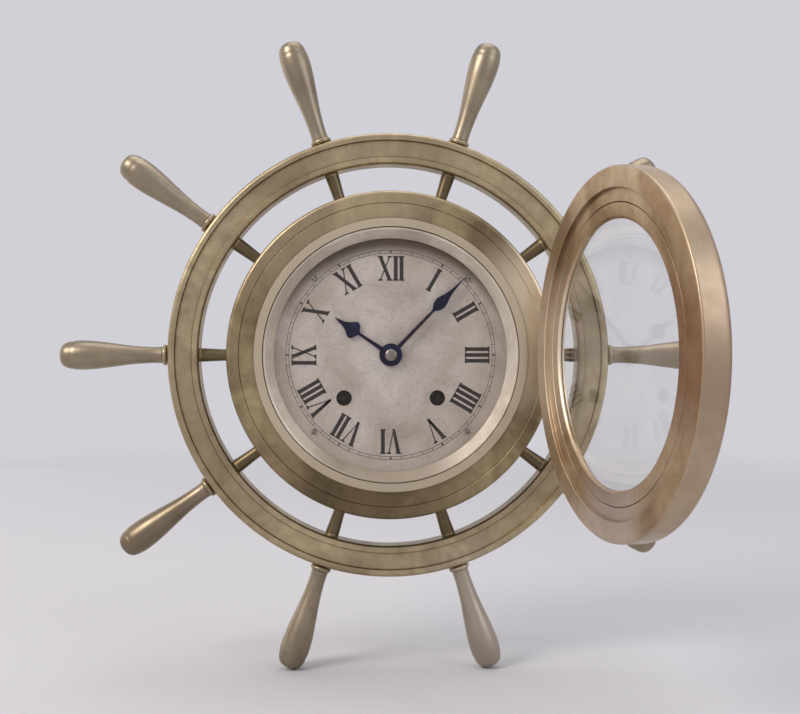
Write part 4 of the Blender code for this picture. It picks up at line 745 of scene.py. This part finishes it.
def spoke_outline():
    """Return a spoke's outline, (radius, distance from the clock's axis), tip first."""
    foot = DRUM_RADIUS + GAP
    spindle_end = RIM_INNER - GAP
    collar_foot = RIM_OUTER + GAP
    collar_end = collar_foot + COLLAR_LENGTH
    length = TIP - collar_end
    swell = [(NECK_RADIUS + across * (HANDLE_RADIUS - NECK_RADIUS), collar_end + along * length)
             for along, across in zip(HANDLE_LENGTH_SHARES, HANDLE_SWELL_SHARES)]
    handle = flowing(swell)
    groove = collar_end + GROOVE_SHARE * length
    handle = [(radius - GROOVE_DEPTH * max(0.0, 1 - abs(spot - groove) / GROOVE_WIDTH), spot)
              for radius, spot in handle]
    bead = COLLAR_LENGTH / 2
    collar = arc((COLLAR_RADIUS - bead, collar_foot + bead), bead, 90.0, -90.0, 8)
    waist = [(SPINDLE_END_RADIUS, spindle_end),
             (SPINDLE_END_RADIUS, spindle_end - SPINDLE_FOOT_LENGTH),
             (SPINDLE_WAIST_RADIUS, (spindle_end + foot) / 2),
             (SPINDLE_END_RADIUS, foot + SPINDLE_FOOT_LENGTH), (SPINDLE_END_RADIUS, foot)]
    outline = [(0.0, TIP)] + handle[::-1] + collar
    outline += [(SPOKE_PASS, collar_foot), (SPOKE_PASS, spindle_end)] + waist + [(0.0, foot)]
    return outline


def make_wheel(brass):
    """Make the rim and its ten turned spokes."""
    rim = turned("turned_rim", rim_outline(), ring=True)
    combine(rim, radial_rods("rim_drill", RIM_INNER - OVERRUN, RIM_OUTER + OVERRUN,
                             SPOKE_PASS + TINY), "DIFFERENCE")
    place(rim, "case", brass, "wheel_brass", "wheel_rim")
    path = [(spot, -WHEEL_PLANE, radius) for radius, spot in spoke_outline()]
    pattern = lathe("spoke_pattern", path, (1.0, 0.0, 0.0), HANDLE_SIDES, (0.0, -WHEEL_PLANE, 0.0))
    for index in range(SPOKE_COUNT):
        spoke = duplicate(pattern, f"turned_spoke_{index + 1:02d}")
        move(spoke, Matrix.Rotation(-2 * math.pi * index / SPOKE_COUNT, 4, "Y"))
        place(spoke, "case", brass, "wheel_brass", f"spoke_{index + 1:02d}")
    bpy.data.objects.remove(pattern)


def drum_outline():
    """Return the drum's outline: barrel, flange with a scribed line, lip and dial ring."""
    flange_back = CASE_FRONT - FLANGE_DEPTH
    ring_top = DRUM_BACK + BACK_RING_DEPTH
    cove = arc((FLANGE_RADIUS - FLANGE_COVE, CASE_FRONT - FLANGE_COVE), FLANGE_COVE, 0.0, 90.0)
    under = arc((FLANGE_RADIUS - FLANGE_COVE, flange_back + FLANGE_COVE), FLANGE_COVE, -90.0, 0.0)
    return [
        (DRUM_RADIUS, DRUM_BACK), (DRUM_RADIUS, flange_back)] + under + cove + [
        (SCRIBED_RADIUS, CASE_FRONT), (SCRIBED_RADIUS - EDGE, CASE_FRONT - EDGE),
        (SCRIBED_RADIUS - EDGE * 2, CASE_FRONT), (LIP_RADIUS, CASE_FRONT),
        (LIP_RADIUS, LIP_FRONT), (RECESS_RADIUS, LIP_FRONT), (RECESS_RADIUS, RING_FRONT),
        (RING_BORE, RING_FRONT), (RING_BORE, RING_BACK),
        (DRUM_RADIUS - DRUM_WALL, RING_BACK), (DRUM_RADIUS - DRUM_WALL, ring_top),
        (BACK_RING_BORE, ring_top), (BACK_RING_BORE, DRUM_BACK)]


def make_case(brass, back_brass, steel):
    """Make the drum, its back with the keyhole, and the back's screws."""
    drum = turned("spun_drum", drum_outline(), ring=True)
    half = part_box("hinge_case_leaf")[1].z + GAP
    gate = slab("flange_gate",
                (HINGE_X - KNUCKLE_RADIUS - GAP, -CASE_FRONT - OVERRUN, -half),
                (FLANGE_RADIUS + OVERRUN, GAP + FLANGE_DEPTH - CASE_FRONT, half))
    combine(drum, gate, "DIFFERENCE")
    round_edges(drum)
    place(drum, "case", brass, "case_brass", "case_barrel")

    back = turned("turned_back", [(0.0, 0.0), (DRUM_RADIUS, 0.0),
                                  (DRUM_RADIUS, BACK_THICKNESS), (0.0, BACK_THICKNESS)])
    head = rod("keyhole_head", (0.0, OVERRUN, KEYHOLE_HEIGHT),
               (0.0, -BACK_THICKNESS - OVERRUN, KEYHOLE_HEIGHT), KEYHOLE_HEAD_RADIUS)
    top = KEYHOLE_HEIGHT + KEYHOLE_SLOT_RISE
    slot = slab("keyhole_slot", (-KEYHOLE_SLOT_WIDTH / 2, -BACK_THICKNESS - OVERRUN,
                                 KEYHOLE_HEIGHT), (KEYHOLE_SLOT_WIDTH / 2, OVERRUN, top))
    combine(back, head, "DIFFERENCE")
    combine(back, slot, "DIFFERENCE")
    for index in range(3):
        low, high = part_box(f"back_screw_{index + 1}")
        middle = (low + high) / 2
        radius = (high.x - low.x) / 2
        sink = rod("screw_sink", (middle.x, OVERRUN, middle.z),
                   (middle.x, -BACK_THICKNESS - OVERRUN, middle.z), radius + GAP)
        combine(back, sink, "DIFFERENCE")
        screw = slotted_screw(f"slotted_back_screw_{index + 1}", radius, SCREW_HEAD_DEPTH, 0.4)
        deep = rod("screw_shank", (0.0, 0.0, -high.y + low.y), (0.0, 0.0, -SCREW_HEAD_DEPTH / 2),
                   radius / 2)
        combine(screw, deep, "UNION")
        move(screw, Matrix.Translation((middle.x, 0.0, middle.z)) @ Matrix.Rotation(
            -math.pi / 2, 4, "X"))
        place(screw, "case", steel, "screw_steel", f"back_screw_{index + 1}")
    round_edges(back)
    place(back, "case", back_brass, "case_brass", "case_back")


def slotted_screw(name, radius, depth, turn):
    """Make a slotted screw head with its face at height zero, facing +Z."""
    screw = rod(name, (0.0, 0.0, -depth), (0.0, 0.0, 0.0), radius)
    round_edges(screw, radius / 8)
    slot = slab("screw_slot", (-radius - OVERRUN, -SCREW_SLOT / 2, -SCREW_SLOT_DEPTH),
                (radius + OVERRUN, SCREW_SLOT / 2, OVERRUN))
    move(slot, Matrix.Rotation(turn, 4, "Z"))
    combine(screw, slot, "DIFFERENCE")
    return screw


def bezel_outline():
    """Return the shut bezel's outline: a face that slopes up to a round crown, and the seat."""
    band = BEZEL_RADIUS - OPENING_RADIUS
    depth = BEZEL_FRONT - BEZEL_BACK
    crown = flowing([(OPENING_RADIUS + band * out, BEZEL_FRONT - depth * fall)
                     for out, fall in CROWN_SHARES])
    foot = arc((BEZEL_RADIUS - EDGE * 3, BEZEL_BACK + EDGE * 3), EDGE * 3, 0.0, -90.0, 4)
    bead = arc((OPENING_RADIUS + OPENING_BEAD, LIP_FACE - OPENING_BEAD), OPENING_BEAD,
               180.0, 60.0, 4)
    return bead + crown + foot + [
        (BEZEL_BORE, BEZEL_BACK), (BEZEL_BORE, GLASS_RING_BACK),
        (GLASS_SEAT_RADIUS, GLASS_RING_BACK), (GLASS_SEAT_RADIUS, LIP_BACK),
        (OPENING_RADIUS, LIP_BACK)]


def make_bezel(brass, glass, steel):
    """Make the open bezel, its glass and retaining ring, and the hinge."""
    bezel = turned("turned_bezel", bezel_outline(), ring=True)
    round_edges(bezel)
    move(bezel, swing())
    place(bezel, "bezel", brass, "bezel_brass", "bezel")

    edge = GLASS_RADIUS - GLASS_EDGE
    pane = turned("ground_glass_pane", [
        (0.0, GLASS_BACK), (edge, GLASS_BACK), (GLASS_RADIUS, GLASS_BACK),
        (GLASS_RADIUS, GLASS_FRONT), (edge, GLASS_FRONT), (0.0, GLASS_FRONT)])
    round_edges(pane)
    move(pane, swing())
    place(pane, "bezel", glass, "glass", "bezel_glass")

    inner = GLASS_RADIUS - GLASS_RING_WIDTH
    ring = turned("sprung_glass_ring", [
        (GLASS_RADIUS, GLASS_RING_BACK), (GLASS_RADIUS, GLASS_RING_FRONT),
        (inner, GLASS_RING_FRONT), (inner, GLASS_RING_BACK + GLASS_RING_BEVEL),
        (inner + GLASS_RING_BEVEL, GLASS_RING_BACK)], ring=True)
    round_edges(ring)
    move(ring, swing())
    place(ring, "bezel", brass, "bezel_brass", "glass_ring")
    make_hinge(brass, steel)


def make_hinge(brass, steel):
    """Make the two leaves, their knuckles and the pin."""
    low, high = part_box("hinge_case_leaf")
    leaf_out = -high.y
    leaf_front = CASE_FRONT - FLANGE_DEPTH - GAP
    wall_x = HINGE_X - KNUCKLE_RADIUS
    leaf_x = wall_x + LEAF_THICKNESS
    axis_y = -HINGE_OUT
    leaf = slab("milled_case_leaf", (low.x, -leaf_front, low.z), (leaf_x, -leaf_out, high.z))
    post = slab("leaf_post", (wall_x, axis_y, low.z), (leaf_x, -leaf_out, high.z))
    combine(leaf, post, "UNION")
    barrel = rod("case_knuckle", (HINGE_X, axis_y, low.z), (HINGE_X, axis_y, high.z),
                 KNUCKLE_RADIUS)
    combine(leaf, barrel, "UNION")
    gap = BEZEL_KNUCKLE_HALF + GAP
    notch = slab("leaf_notch", (wall_x - OVERRUN, axis_y - KNUCKLE_RADIUS - OVERRUN, -gap),
                 (high.x + OVERRUN, axis_y + LEAF_GRIP + NOTCH_CLEARANCE, gap))
    combine(leaf, notch, "DIFFERENCE")
    round_edges(leaf, EDGE * 0.8, 2)
    place(leaf, "case", brass, "case_brass", "hinge_case_leaf")

    eye = rod("milled_bezel_leaf", (HINGE_X, axis_y, -BEZEL_KNUCKLE_HALF),
              (HINGE_X, axis_y, BEZEL_KNUCKLE_HALF), KNUCKLE_RADIUS)
    tongue = slab("leaf_tongue", (BEZEL_RADIUS + GAP, axis_y, -BEZEL_KNUCKLE_HALF),
                  (HINGE_X, axis_y + LEAF_GRIP, BEZEL_KNUCKLE_HALF))
    combine(eye, tongue, "UNION")
    round_edges(eye, EDGE * 0.8, 2)
    move(eye, swing())
    place(eye, "bezel", brass, "bezel_brass", "hinge_bezel_leaf")

    low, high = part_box("hinge_pin")
    dome = arc((0.0, 0.0), PIN_HEAD_RADIUS, 0.0, 90.0, 6)
    head_foot = high.z - PIN_HEAD_RADIUS / 2
    outline = [(0.0, low.z), (PIN_RADIUS, low.z), (PIN_RADIUS, head_foot)]
    outline += [(radius, head_foot + rise / 2) for radius, rise in dome]
    path = [(HINGE_X + radius, axis_y, height) for radius, height in outline]
    pin = lathe("domed_hinge_pin", path, (0.0, 0.0, 1.0), SMALL_SIDES, (HINGE_X, axis_y, 0.0))
    place(pin, "case", steel, "screw_steel", "hinge_pin")


def strip(name, stations):
    """Draw a flat strip up the dial from (height, centre, width) stations, facing the front."""
    height, centre, width = stations[0]
    deselect()
    bpy.ops.mesh.primitive_plane_add(size=1.0, rotation=(math.pi / 2, 0.0, 0.0))
    piece = bpy.context.object
    piece.name = name
    settle(piece)
    bpy.ops.object.mode_set(mode="EDIT")
    bpy.ops.mesh.select_all(action="SELECT")
    bpy.ops.transform.resize(value=(width, 1.0, 0.0), center_override=(0.0, 0.0, 0.0))
    bpy.ops.mesh.remove_doubles(threshold=MERGE)
    bpy.ops.transform.translate(value=(centre, 0.0, height))
    for new_height, new_centre, new_width in stations[1:]:
        step = (new_centre - centre, 0.0, new_height - height)
        bpy.ops.mesh.extrude_region_move(TRANSFORM_OT_translate={"value": step})
        bpy.ops.transform.resize(value=(new_width / width, 1.0, 1.0),
                                 center_override=(new_centre, 0.0, new_height))
        height, centre, width = new_height, new_centre, new_width
    bpy.ops.mesh.select_all(action="SELECT")
    bpy.ops.mesh.normals_make_consistent(inside=False)
    bpy.ops.object.mode_set(mode="OBJECT")
    return piece


def thicken(piece, back, front):
    """Give a flat piece its thickness between two distances from the wall."""
    bpy.context.view_layer.update()
    wall = piece.modifiers.new("wall", "SOLIDIFY")
    wall.thickness = front - back
    wall.offset = 0.0
    apply_modifiers(piece)
    move(piece, Matrix.Translation((0.0, -(front + back) / 2, 0.0)))
    pick(piece)
    bpy.ops.object.mode_set(mode="EDIT")
    bpy.ops.mesh.select_all(action="SELECT")
    bpy.ops.mesh.normals_make_consistent(inside=False)
    bpy.ops.object.mode_set(mode="OBJECT")


def letter_patterns(height, back, front):
    """Model the strokes I, V and X once, standing on zero, with serifs."""
    serif = height * SERIF_SHARE
    stem = height * STEM_SHARE
    hair = height * HAIR_SHARE
    foot = height * LETTER_FOOT_SHARE
    hair_foot = foot * HAIR_FOOT_SHARE
    ends = (0.0, serif, serif * BRACKET_SHARE)

    def upright(name, bottom, top, width, wide):
        lean = top - bottom
        spots = ends + tuple(height - end for end in reversed(ends))
        widths = (wide, wide, width, width, wide, wide)
        return strip(name, [(spot, bottom + lean * spot / height, across)
                            for spot, across in zip(spots, widths)])

    def slanted(name, bottom, top, width, wide):
        lean = top - bottom
        spots = (0.0,) + tuple(height - end for end in reversed(ends))
        widths = (width * POINT_SHARE, width, wide, wide)
        return strip(name, [(spot, bottom + lean * spot / height, across)
                            for spot, across in zip(spots, widths)])

    one = upright("letter_i", 0.0, 0.0, stem, foot)
    half = height * LEAN_SHARE
    five = slanted("letter_v", 0.0, -half, stem, foot)
    thin = slanted("letter_v_hair", 0.0, half, hair, hair_foot)
    ten = upright("letter_x", half, -half, stem, foot)
    cross = upright("letter_x_hair", -half, half, hair, hair_foot)
    for piece in (one, five, thin, ten, cross):
        thicken(piece, back, front)
    combine(five, thin, "UNION")
    combine(ten, cross, "UNION")
    narrow = foot * SPACING_SHARE
    widths = {"I": narrow, "V": half * 2 + narrow, "X": half * 2 + narrow}
    return {"I": one, "V": five, "X": ten}, widths


def make_numerals(wax):
    """Set the twelve Roman hours round the dial, feet toward the centre."""
    back = DIAL_FRONT - INK_SINK
    front = DIAL_FRONT + INK_RISE
    patterns, widths = letter_patterns(NUMERAL_OUTER - NUMERAL_INNER, back, front)
    hours = ("I", "II", "III", "IIII", "V", "VI", "VII", "VIII", "IX", "X", "XI", "XII")
    letters = []
    for hour, text in enumerate(hours, start=1):
        turn = Matrix.Rotation(2 * math.pi * hour / 12, 4, "Y")
        across = -sum(widths[letter] for letter in text) / 2
        for letter in text:
            across += widths[letter] / 2
            twin = duplicate(patterns[letter], "numeral_letter")
            move(twin, turn @ Matrix.Translation((across, 0.0, NUMERAL_INNER)))
            letters.append(twin)
            across += widths[letter] / 2
    for pattern in patterns.values():
        bpy.data.objects.remove(pattern)
    numerals = join(letters)
    numerals.name = "engraved_numerals"
    place(numerals, "case", wax, "silvered_brass")


def make_minute_track(wax):
    """Rule the minute track: two thin circles and a line for each minute."""
    back = DIAL_FRONT - INK_SINK
    front = DIAL_FRONT + INK_RISE
    lines = []
    for radius in (TRACK_INNER, TRACK_OUTER):
        lines.append(turned("track_circle", [
            (radius, back), (radius, front), (radius + TRACK_LINE, front),
            (radius + TRACK_LINE, back)], ring=True))
    for minute in range(60):
        width = FIVE_LINE if minute % 5 == 0 else MINUTE_LINE
        line = slab("minute_line", (-width / 2, -front, TRACK_INNER + TRACK_LINE),
                    (width / 2, -back, TRACK_OUTER))
        move(line, Matrix.Rotation(2 * math.pi * minute / 60, 4, "Y"))
        lines.append(line)
    track = join(lines)
    track.name = "engraved_minute_track"
    place(track, "case", wax, "silvered_brass")


def make_dial(silvered, bright, wax, steel):
    """Make the dial, its bevelled ring, its marks and its four screws."""
    dial = turned("silvered_dial_plate", [
        (DIAL_RADIUS, DIAL_BACK), (DIAL_RADIUS, DIAL_FRONT), (DIAL_BORE, DIAL_FRONT),
        (DIAL_BORE, DIAL_BACK)], ring=True)
    for x, z in WINDING_PLACES:
        hole = rod("winding_hole", (x, -DIAL_BACK + OVERRUN, z), (x, -DIAL_FRONT - OVERRUN, z),
                   WINDING_HOLE, SMALL_SIDES * 2)
        combine(dial, hole, "DIFFERENCE")
    round_edges(dial, EDGE / 2, 2)
    place(dial, "case", silvered, "silvered_brass", "dial")

    ring = turned("bevelled_dial_ring", [
        (SURROUND_OUTER, SURROUND_BACK), (SURROUND_OUTER, SURROUND_FRONT),
        (SURROUND_OUTER - SURROUND_FACE, SURROUND_FRONT),
        (SURROUND_INNER, SURROUND_BACK + SURROUND_FOOT), (SURROUND_INNER, SURROUND_BACK)],
        ring=True)
    round_edges(ring, EDGE / 2, 2)
    place(ring, "case", bright, "silvered_brass", "dial_surround")
    make_numerals(wax)
    make_minute_track(wax)
    for index in range(4):
        low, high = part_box(f"dial_screw_{index + 1}")
        middle = (low + high) / 2
        radius = (high.x - low.x) / 2
        screw = slotted_screw(f"slotted_dial_screw_{index + 1}", radius, SCREW_SLOT, 0.7 * index)
        shank = rod("screw_shank", (0.0, 0.0, low.y - high.y), (0.0, 0.0, -SCREW_SLOT / 2),
                    radius / 2)
        combine(screw, shank, "UNION")
        move(screw, Matrix.Translation((middle.x, low.y, middle.z)) @ Matrix.Rotation(
            math.pi / 2, 4, "X"))
        place(screw, "case", steel, "screw_steel", f"dial_screw_{index + 1}")


def make_hand(name, node, length, width, boss, bore, turn):
    """Make one spade hand, pointing at its time."""
    back = back_of(node)
    front = front_of(node)
    stem = STEM_WIDTH / width
    stations = [(boss * HAND_ROOT_SHARE, 0.0, HAND_ROOT_WIDTH)]
    spade = flowing([(length * along, width * max(across, stem * (1 - along) * 2))
                     for along, across in zip(SPADE_LENGTH_SHARES, SPADE_WIDTH_SHARES)], 4)
    stations += [(along, 0.0, across) for along, across in spade]
    hand = strip(name, stations)
    thicken(hand, back, front)
    hub = turned("hand_hub", [(boss, back), (boss, front), (bore, front), (bore, back)],
                 SMALL_SIDES * 2, ring=True)
    combine(hand, hub, "UNION")
    round_edges(hand, EDGE / 2, 2)
    move(hand, Matrix.Rotation(turn, 4, "Y"))
    return hand


def make_hands(blued, steel):
    """Make both hands and the domed nut over them."""
    hour_turn = 2 * math.pi * (SHOWN_HOURS + SHOWN_MINUTES / 60) / 12
    minute_turn = 2 * math.pi * SHOWN_MINUTES / 60
    hour = make_hand("spade_hour_hand", "hour_hand", HOUR_LENGTH, HOUR_WIDTH, HOUR_BOSS,
                     HOUR_PIPE, hour_turn)
    place(hour, "hour_hand", blued, "blued_steel", "hour_hand")
    minute = make_hand("spade_minute_hand", "minute_hand", MINUTE_LENGTH, MINUTE_WIDTH,
                       MINUTE_BOSS, MINUTE_PIPE, minute_turn)
    place(minute, "minute_hand", blued, "blued_steel", "minute_hand")
    radius = reach("hand_nut")
    back = back_of("hand_nut")
    front = front_of("hand_nut")
    crown = [(radius * math.cos(turn), back + (front - back) * (0.5 + 0.5 * math.sin(turn)))
             for turn in (math.radians(15 * index) for index in range(6))]
    nut = turned("domed_hand_nut", [(0.0, back), (radius, back)] + crown + [(0.0, front)],
                 SMALL_SIDES)
    place(nut, "minute_hand", steel, "screw_steel", "hand_nut")


def dress_movement(brass, steel, oiled):
    """Give the solids of the movement their metals; what the key turns is dark with oil."""
    slots = {part["node"]: part["material_slot"] for part in frame["record"]["subparts"]}
    for name, node in frame["nodes"].items():
        if node.hide_render or slots[name] not in ("movement_brass", "movement_steel"):
            continue
        metal = brass if slots[name] == "movement_brass" else steel
        if name.endswith(("winding_arbor", "click")):
            metal = oiled
        node.data.materials.clear()
        node.data.materials.append(metal)


def make_camera():
    """Set the camera where the photograph was taken from."""
    lens = bpy.data.cameras.new("camera")
    lens.sensor_width = SENSOR_MM
    lens.lens = LENS_MM
    camera = bpy.data.objects.new("camera", lens)
    camera.location = CAMERA_PLACE
    camera.rotation_euler = (math.pi / 2, 0.0, CAMERA_TURN)
    bpy.context.scene.collection.objects.link(camera)
    bpy.context.scene.camera = camera


def add_lamp(name, place_at, aim, size, watts, colour):
    """Hang a soft square lamp and aim it."""
    lamp = bpy.data.lights.new(name, "AREA")
    lamp.shape = "SQUARE"
    lamp.size = size
    lamp.energy = watts
    lamp.color = linear(colour)[:3]
    item = bpy.data.objects.new(name, lamp)
    item.location = place_at
    item.visible_camera = False
    item.rotation_euler = (Vector(aim) - Vector(place_at)).to_track_quat("-Z", "Y").to_euler()
    bpy.context.scene.collection.objects.link(item)


def make_studio():
    """Make a pale room: an even background, a floor that fades into it and soft lamps."""
    world = bpy.data.worlds.new("pale_room")
    bpy.context.scene.world = world
    world.use_nodes = True
    tree = world.node_tree
    tree.nodes.clear()
    seen = add_node(tree, "ShaderNodeBackground", {"Color": linear(PAPER), "Strength": 1.0})
    toward = add_node(tree, "ShaderNodeTexCoord").outputs["Generated"]
    depth = add_node(tree, "ShaderNodeSeparateXYZ", {"Vector": toward}).outputs["Y"]
    shade = add_node(tree, "ShaderNodeMapRange", {
        "Value": depth, "From Min": -0.9, "From Max": 0.5, "To Min": 0.42, "To Max": 0.95})
    around = add_node(tree, "ShaderNodeBackground", {
        "Color": linear(ROOM_LIGHT), "Strength": shade.outputs["Result"]})
    rays = add_node(tree, "ShaderNodeLightPath").outputs
    mirrored = add_node(tree, "ShaderNodeMath", {
        0: rays["Is Glossy Ray"], 1: rays["Is Transmission Ray"]}, operation="MAXIMUM")
    shown = add_node(tree, "ShaderNodeMath", {
        0: rays["Is Camera Ray"], 1: mirrored.outputs["Value"]}, operation="MAXIMUM")
    mix = add_node(tree, "ShaderNodeMixShader", {
        "Fac": shown.outputs["Value"], 1: around.outputs["Background"],
        2: seen.outputs["Background"]})
    add_node(tree, "ShaderNodeOutputWorld", {"Surface": mix.outputs["Shader"]})

    deselect()
    bpy.ops.mesh.primitive_circle_add(vertices=FLOOR_SIDES, radius=FLOOR_RADIUS,
                                      fill_type="NGON",
                                      location=(0.0, 0.0, CAD_LOW.z - FLOOR_GAP))
    floor = bpy.context.object
    floor.name = "pale_floor"
    finish, tree, shader = new_finish("pale_paper")
    shader.inputs["Base Color"].default_value = linear(FLOOR_PAPER)
    shader.inputs["Roughness"].default_value = 0.9
    shader.inputs["Specular IOR Level"].default_value = 0.0
    spot = piece_coordinates(tree)
    away = add_node(tree, "ShaderNodeVectorMath", {0: spot}, operation="LENGTH")
    fade = add_node(tree, "ShaderNodeMapRange", {
        "Value": away.outputs["Value"], "From Min": FADE_START, "From Max": FADE_END},
        interpolation_type="SMOOTHSTEP")
    clear = add_node(tree, "ShaderNodeBsdfTransparent")
    mix = add_node(tree, "ShaderNodeMixShader", {
        "Fac": fade.outputs["Result"], 1: shader.outputs["BSDF"], 2: clear.outputs["BSDF"]})
    tree.links.new(mix.outputs["Shader"], tree.nodes["Material Output"].inputs["Surface"])
    floor.data.materials.append(finish)
    deselect()
    for lamp in LAMPS:
        add_lamp(*lamp)


bpy.context.scene.view_settings.view_transform = "Standard"
make_camera()
make_studio()
opened = swing().inverted()
wheel_brass = aged_brass("aged_turned_brass", "#c2b28d", "#ad9d7f", "#948267", "#4a3a26", 0.36,
                         # Painted shade: the spokes' spindles inside the rim are tinted dark brown, as shade
                         # behind the flange
                         zones=((None, 0.0948, 0.0936, "#54452f", 0.80),
                                (None, 0.1100, 0.1150, "#857a6e", 0.60),
                                (LOW_LEFT_HANDLE, 0.042, 0.030, "#6f614d", 0.55),
                                # Painted light: the lower right handle is tinted lighter
                                (LOW_RIGHT_HANDLE_LIGHT, 0.055, 0.030, "#ddd2c4", 0.30)))
case_brass = aged_brass("dulled_case_brass", "#b3a27c", "#9a8968", "#786850", "#43362a", 0.36,
                        # Painted shade: the downward-facing bottom of the flange is tinted dark brown
                        zones=((LOW_FLANGE_SHADE, 0.060, 0.020, "#4c3d2b", 0.60),
                               # Painted light: the flange beside the hinge is tinted pale, as light from the open
                               # bezel
                               (HINGE_FLANGE_LIGHT, 0.050, 0.020, "#ecdcc0", 0.75),
                               # Painted light: the upper left of the flange is tinted lighter
                               (UPPER_FLANGE_LIGHT, 0.065, 0.030, "#d2bfa0", 0.25),
                               (None, 0.0670, 0.0662, "#cfc0a6", 0.80)))
back_brass = aged_brass("lacquered_back_brass", "#b3a27c", "#9a8968", "#786850", "#43362a", 0.38)
bezel_brass = aged_brass("warm_bezel_brass", "#d3bea2", "#bfa688", "#9c8163", "#4a3422", 0.38,
                         opened, zones=((FREE_EDGE, 0.045, 0.012, "#7a4f2e", 0.65),
                                        # Painted light: the bezel beside the hinge is tinted pale, a painted
                                        # reflection
                                        (HINGE_EDGE_LIGHT, 0.050, 0.015, "#f4e2c8", 0.80),
                                        (BEZEL_FOOT, 0.040, 0.015, "#dacfcb", 0.55),
                                        (None, 0.0758, 0.0768, "#b7a58e", 0.6)))
silvered = silvered_dial_finish("silvered_lacquered_brass")
bright = aged_brass("rubbed_silvered_ring", "#f3eadc", "#e6dccd", "#cfc3b4", "#8f8272", 0.34,
                    # Painted shade: the bottom of the bevelled ring is tinted darker
                    zones=((LOW_RING_SHADE, 0.045, 0.020, "#a09280", 0.70),), grime_depth=0.8,
                    metallic=0.35)
wax = dial_wax("black_engraving_wax")
blued = blued_steel("heat_blued_steel")
screw_steel = plain_steel("polished_screw_steel", "#9c958c", "#6e665d", 0.30)
clock_brass = movement_brass("milled_clock_brass")
clock_steel = plain_steel("turned_clock_steel", "#a8a8aa", "#7d7c7c", 0.32)
oiled_steel = plain_steel("oiled_arbor_steel", "#4d4944", "#2e2a27", 0.42)
glass = window_glass("clear_float_glass", opened)

make_wheel(wheel_brass)
make_case(case_brass, back_brass, screw_steel)
make_bezel(bezel_brass, glass, screw_steel)
make_dial(silvered, bright, wax, screw_steel)
make_hands(blued, screw_steel)
dress_movement(clock_brass, clock_steel, oiled_steel)
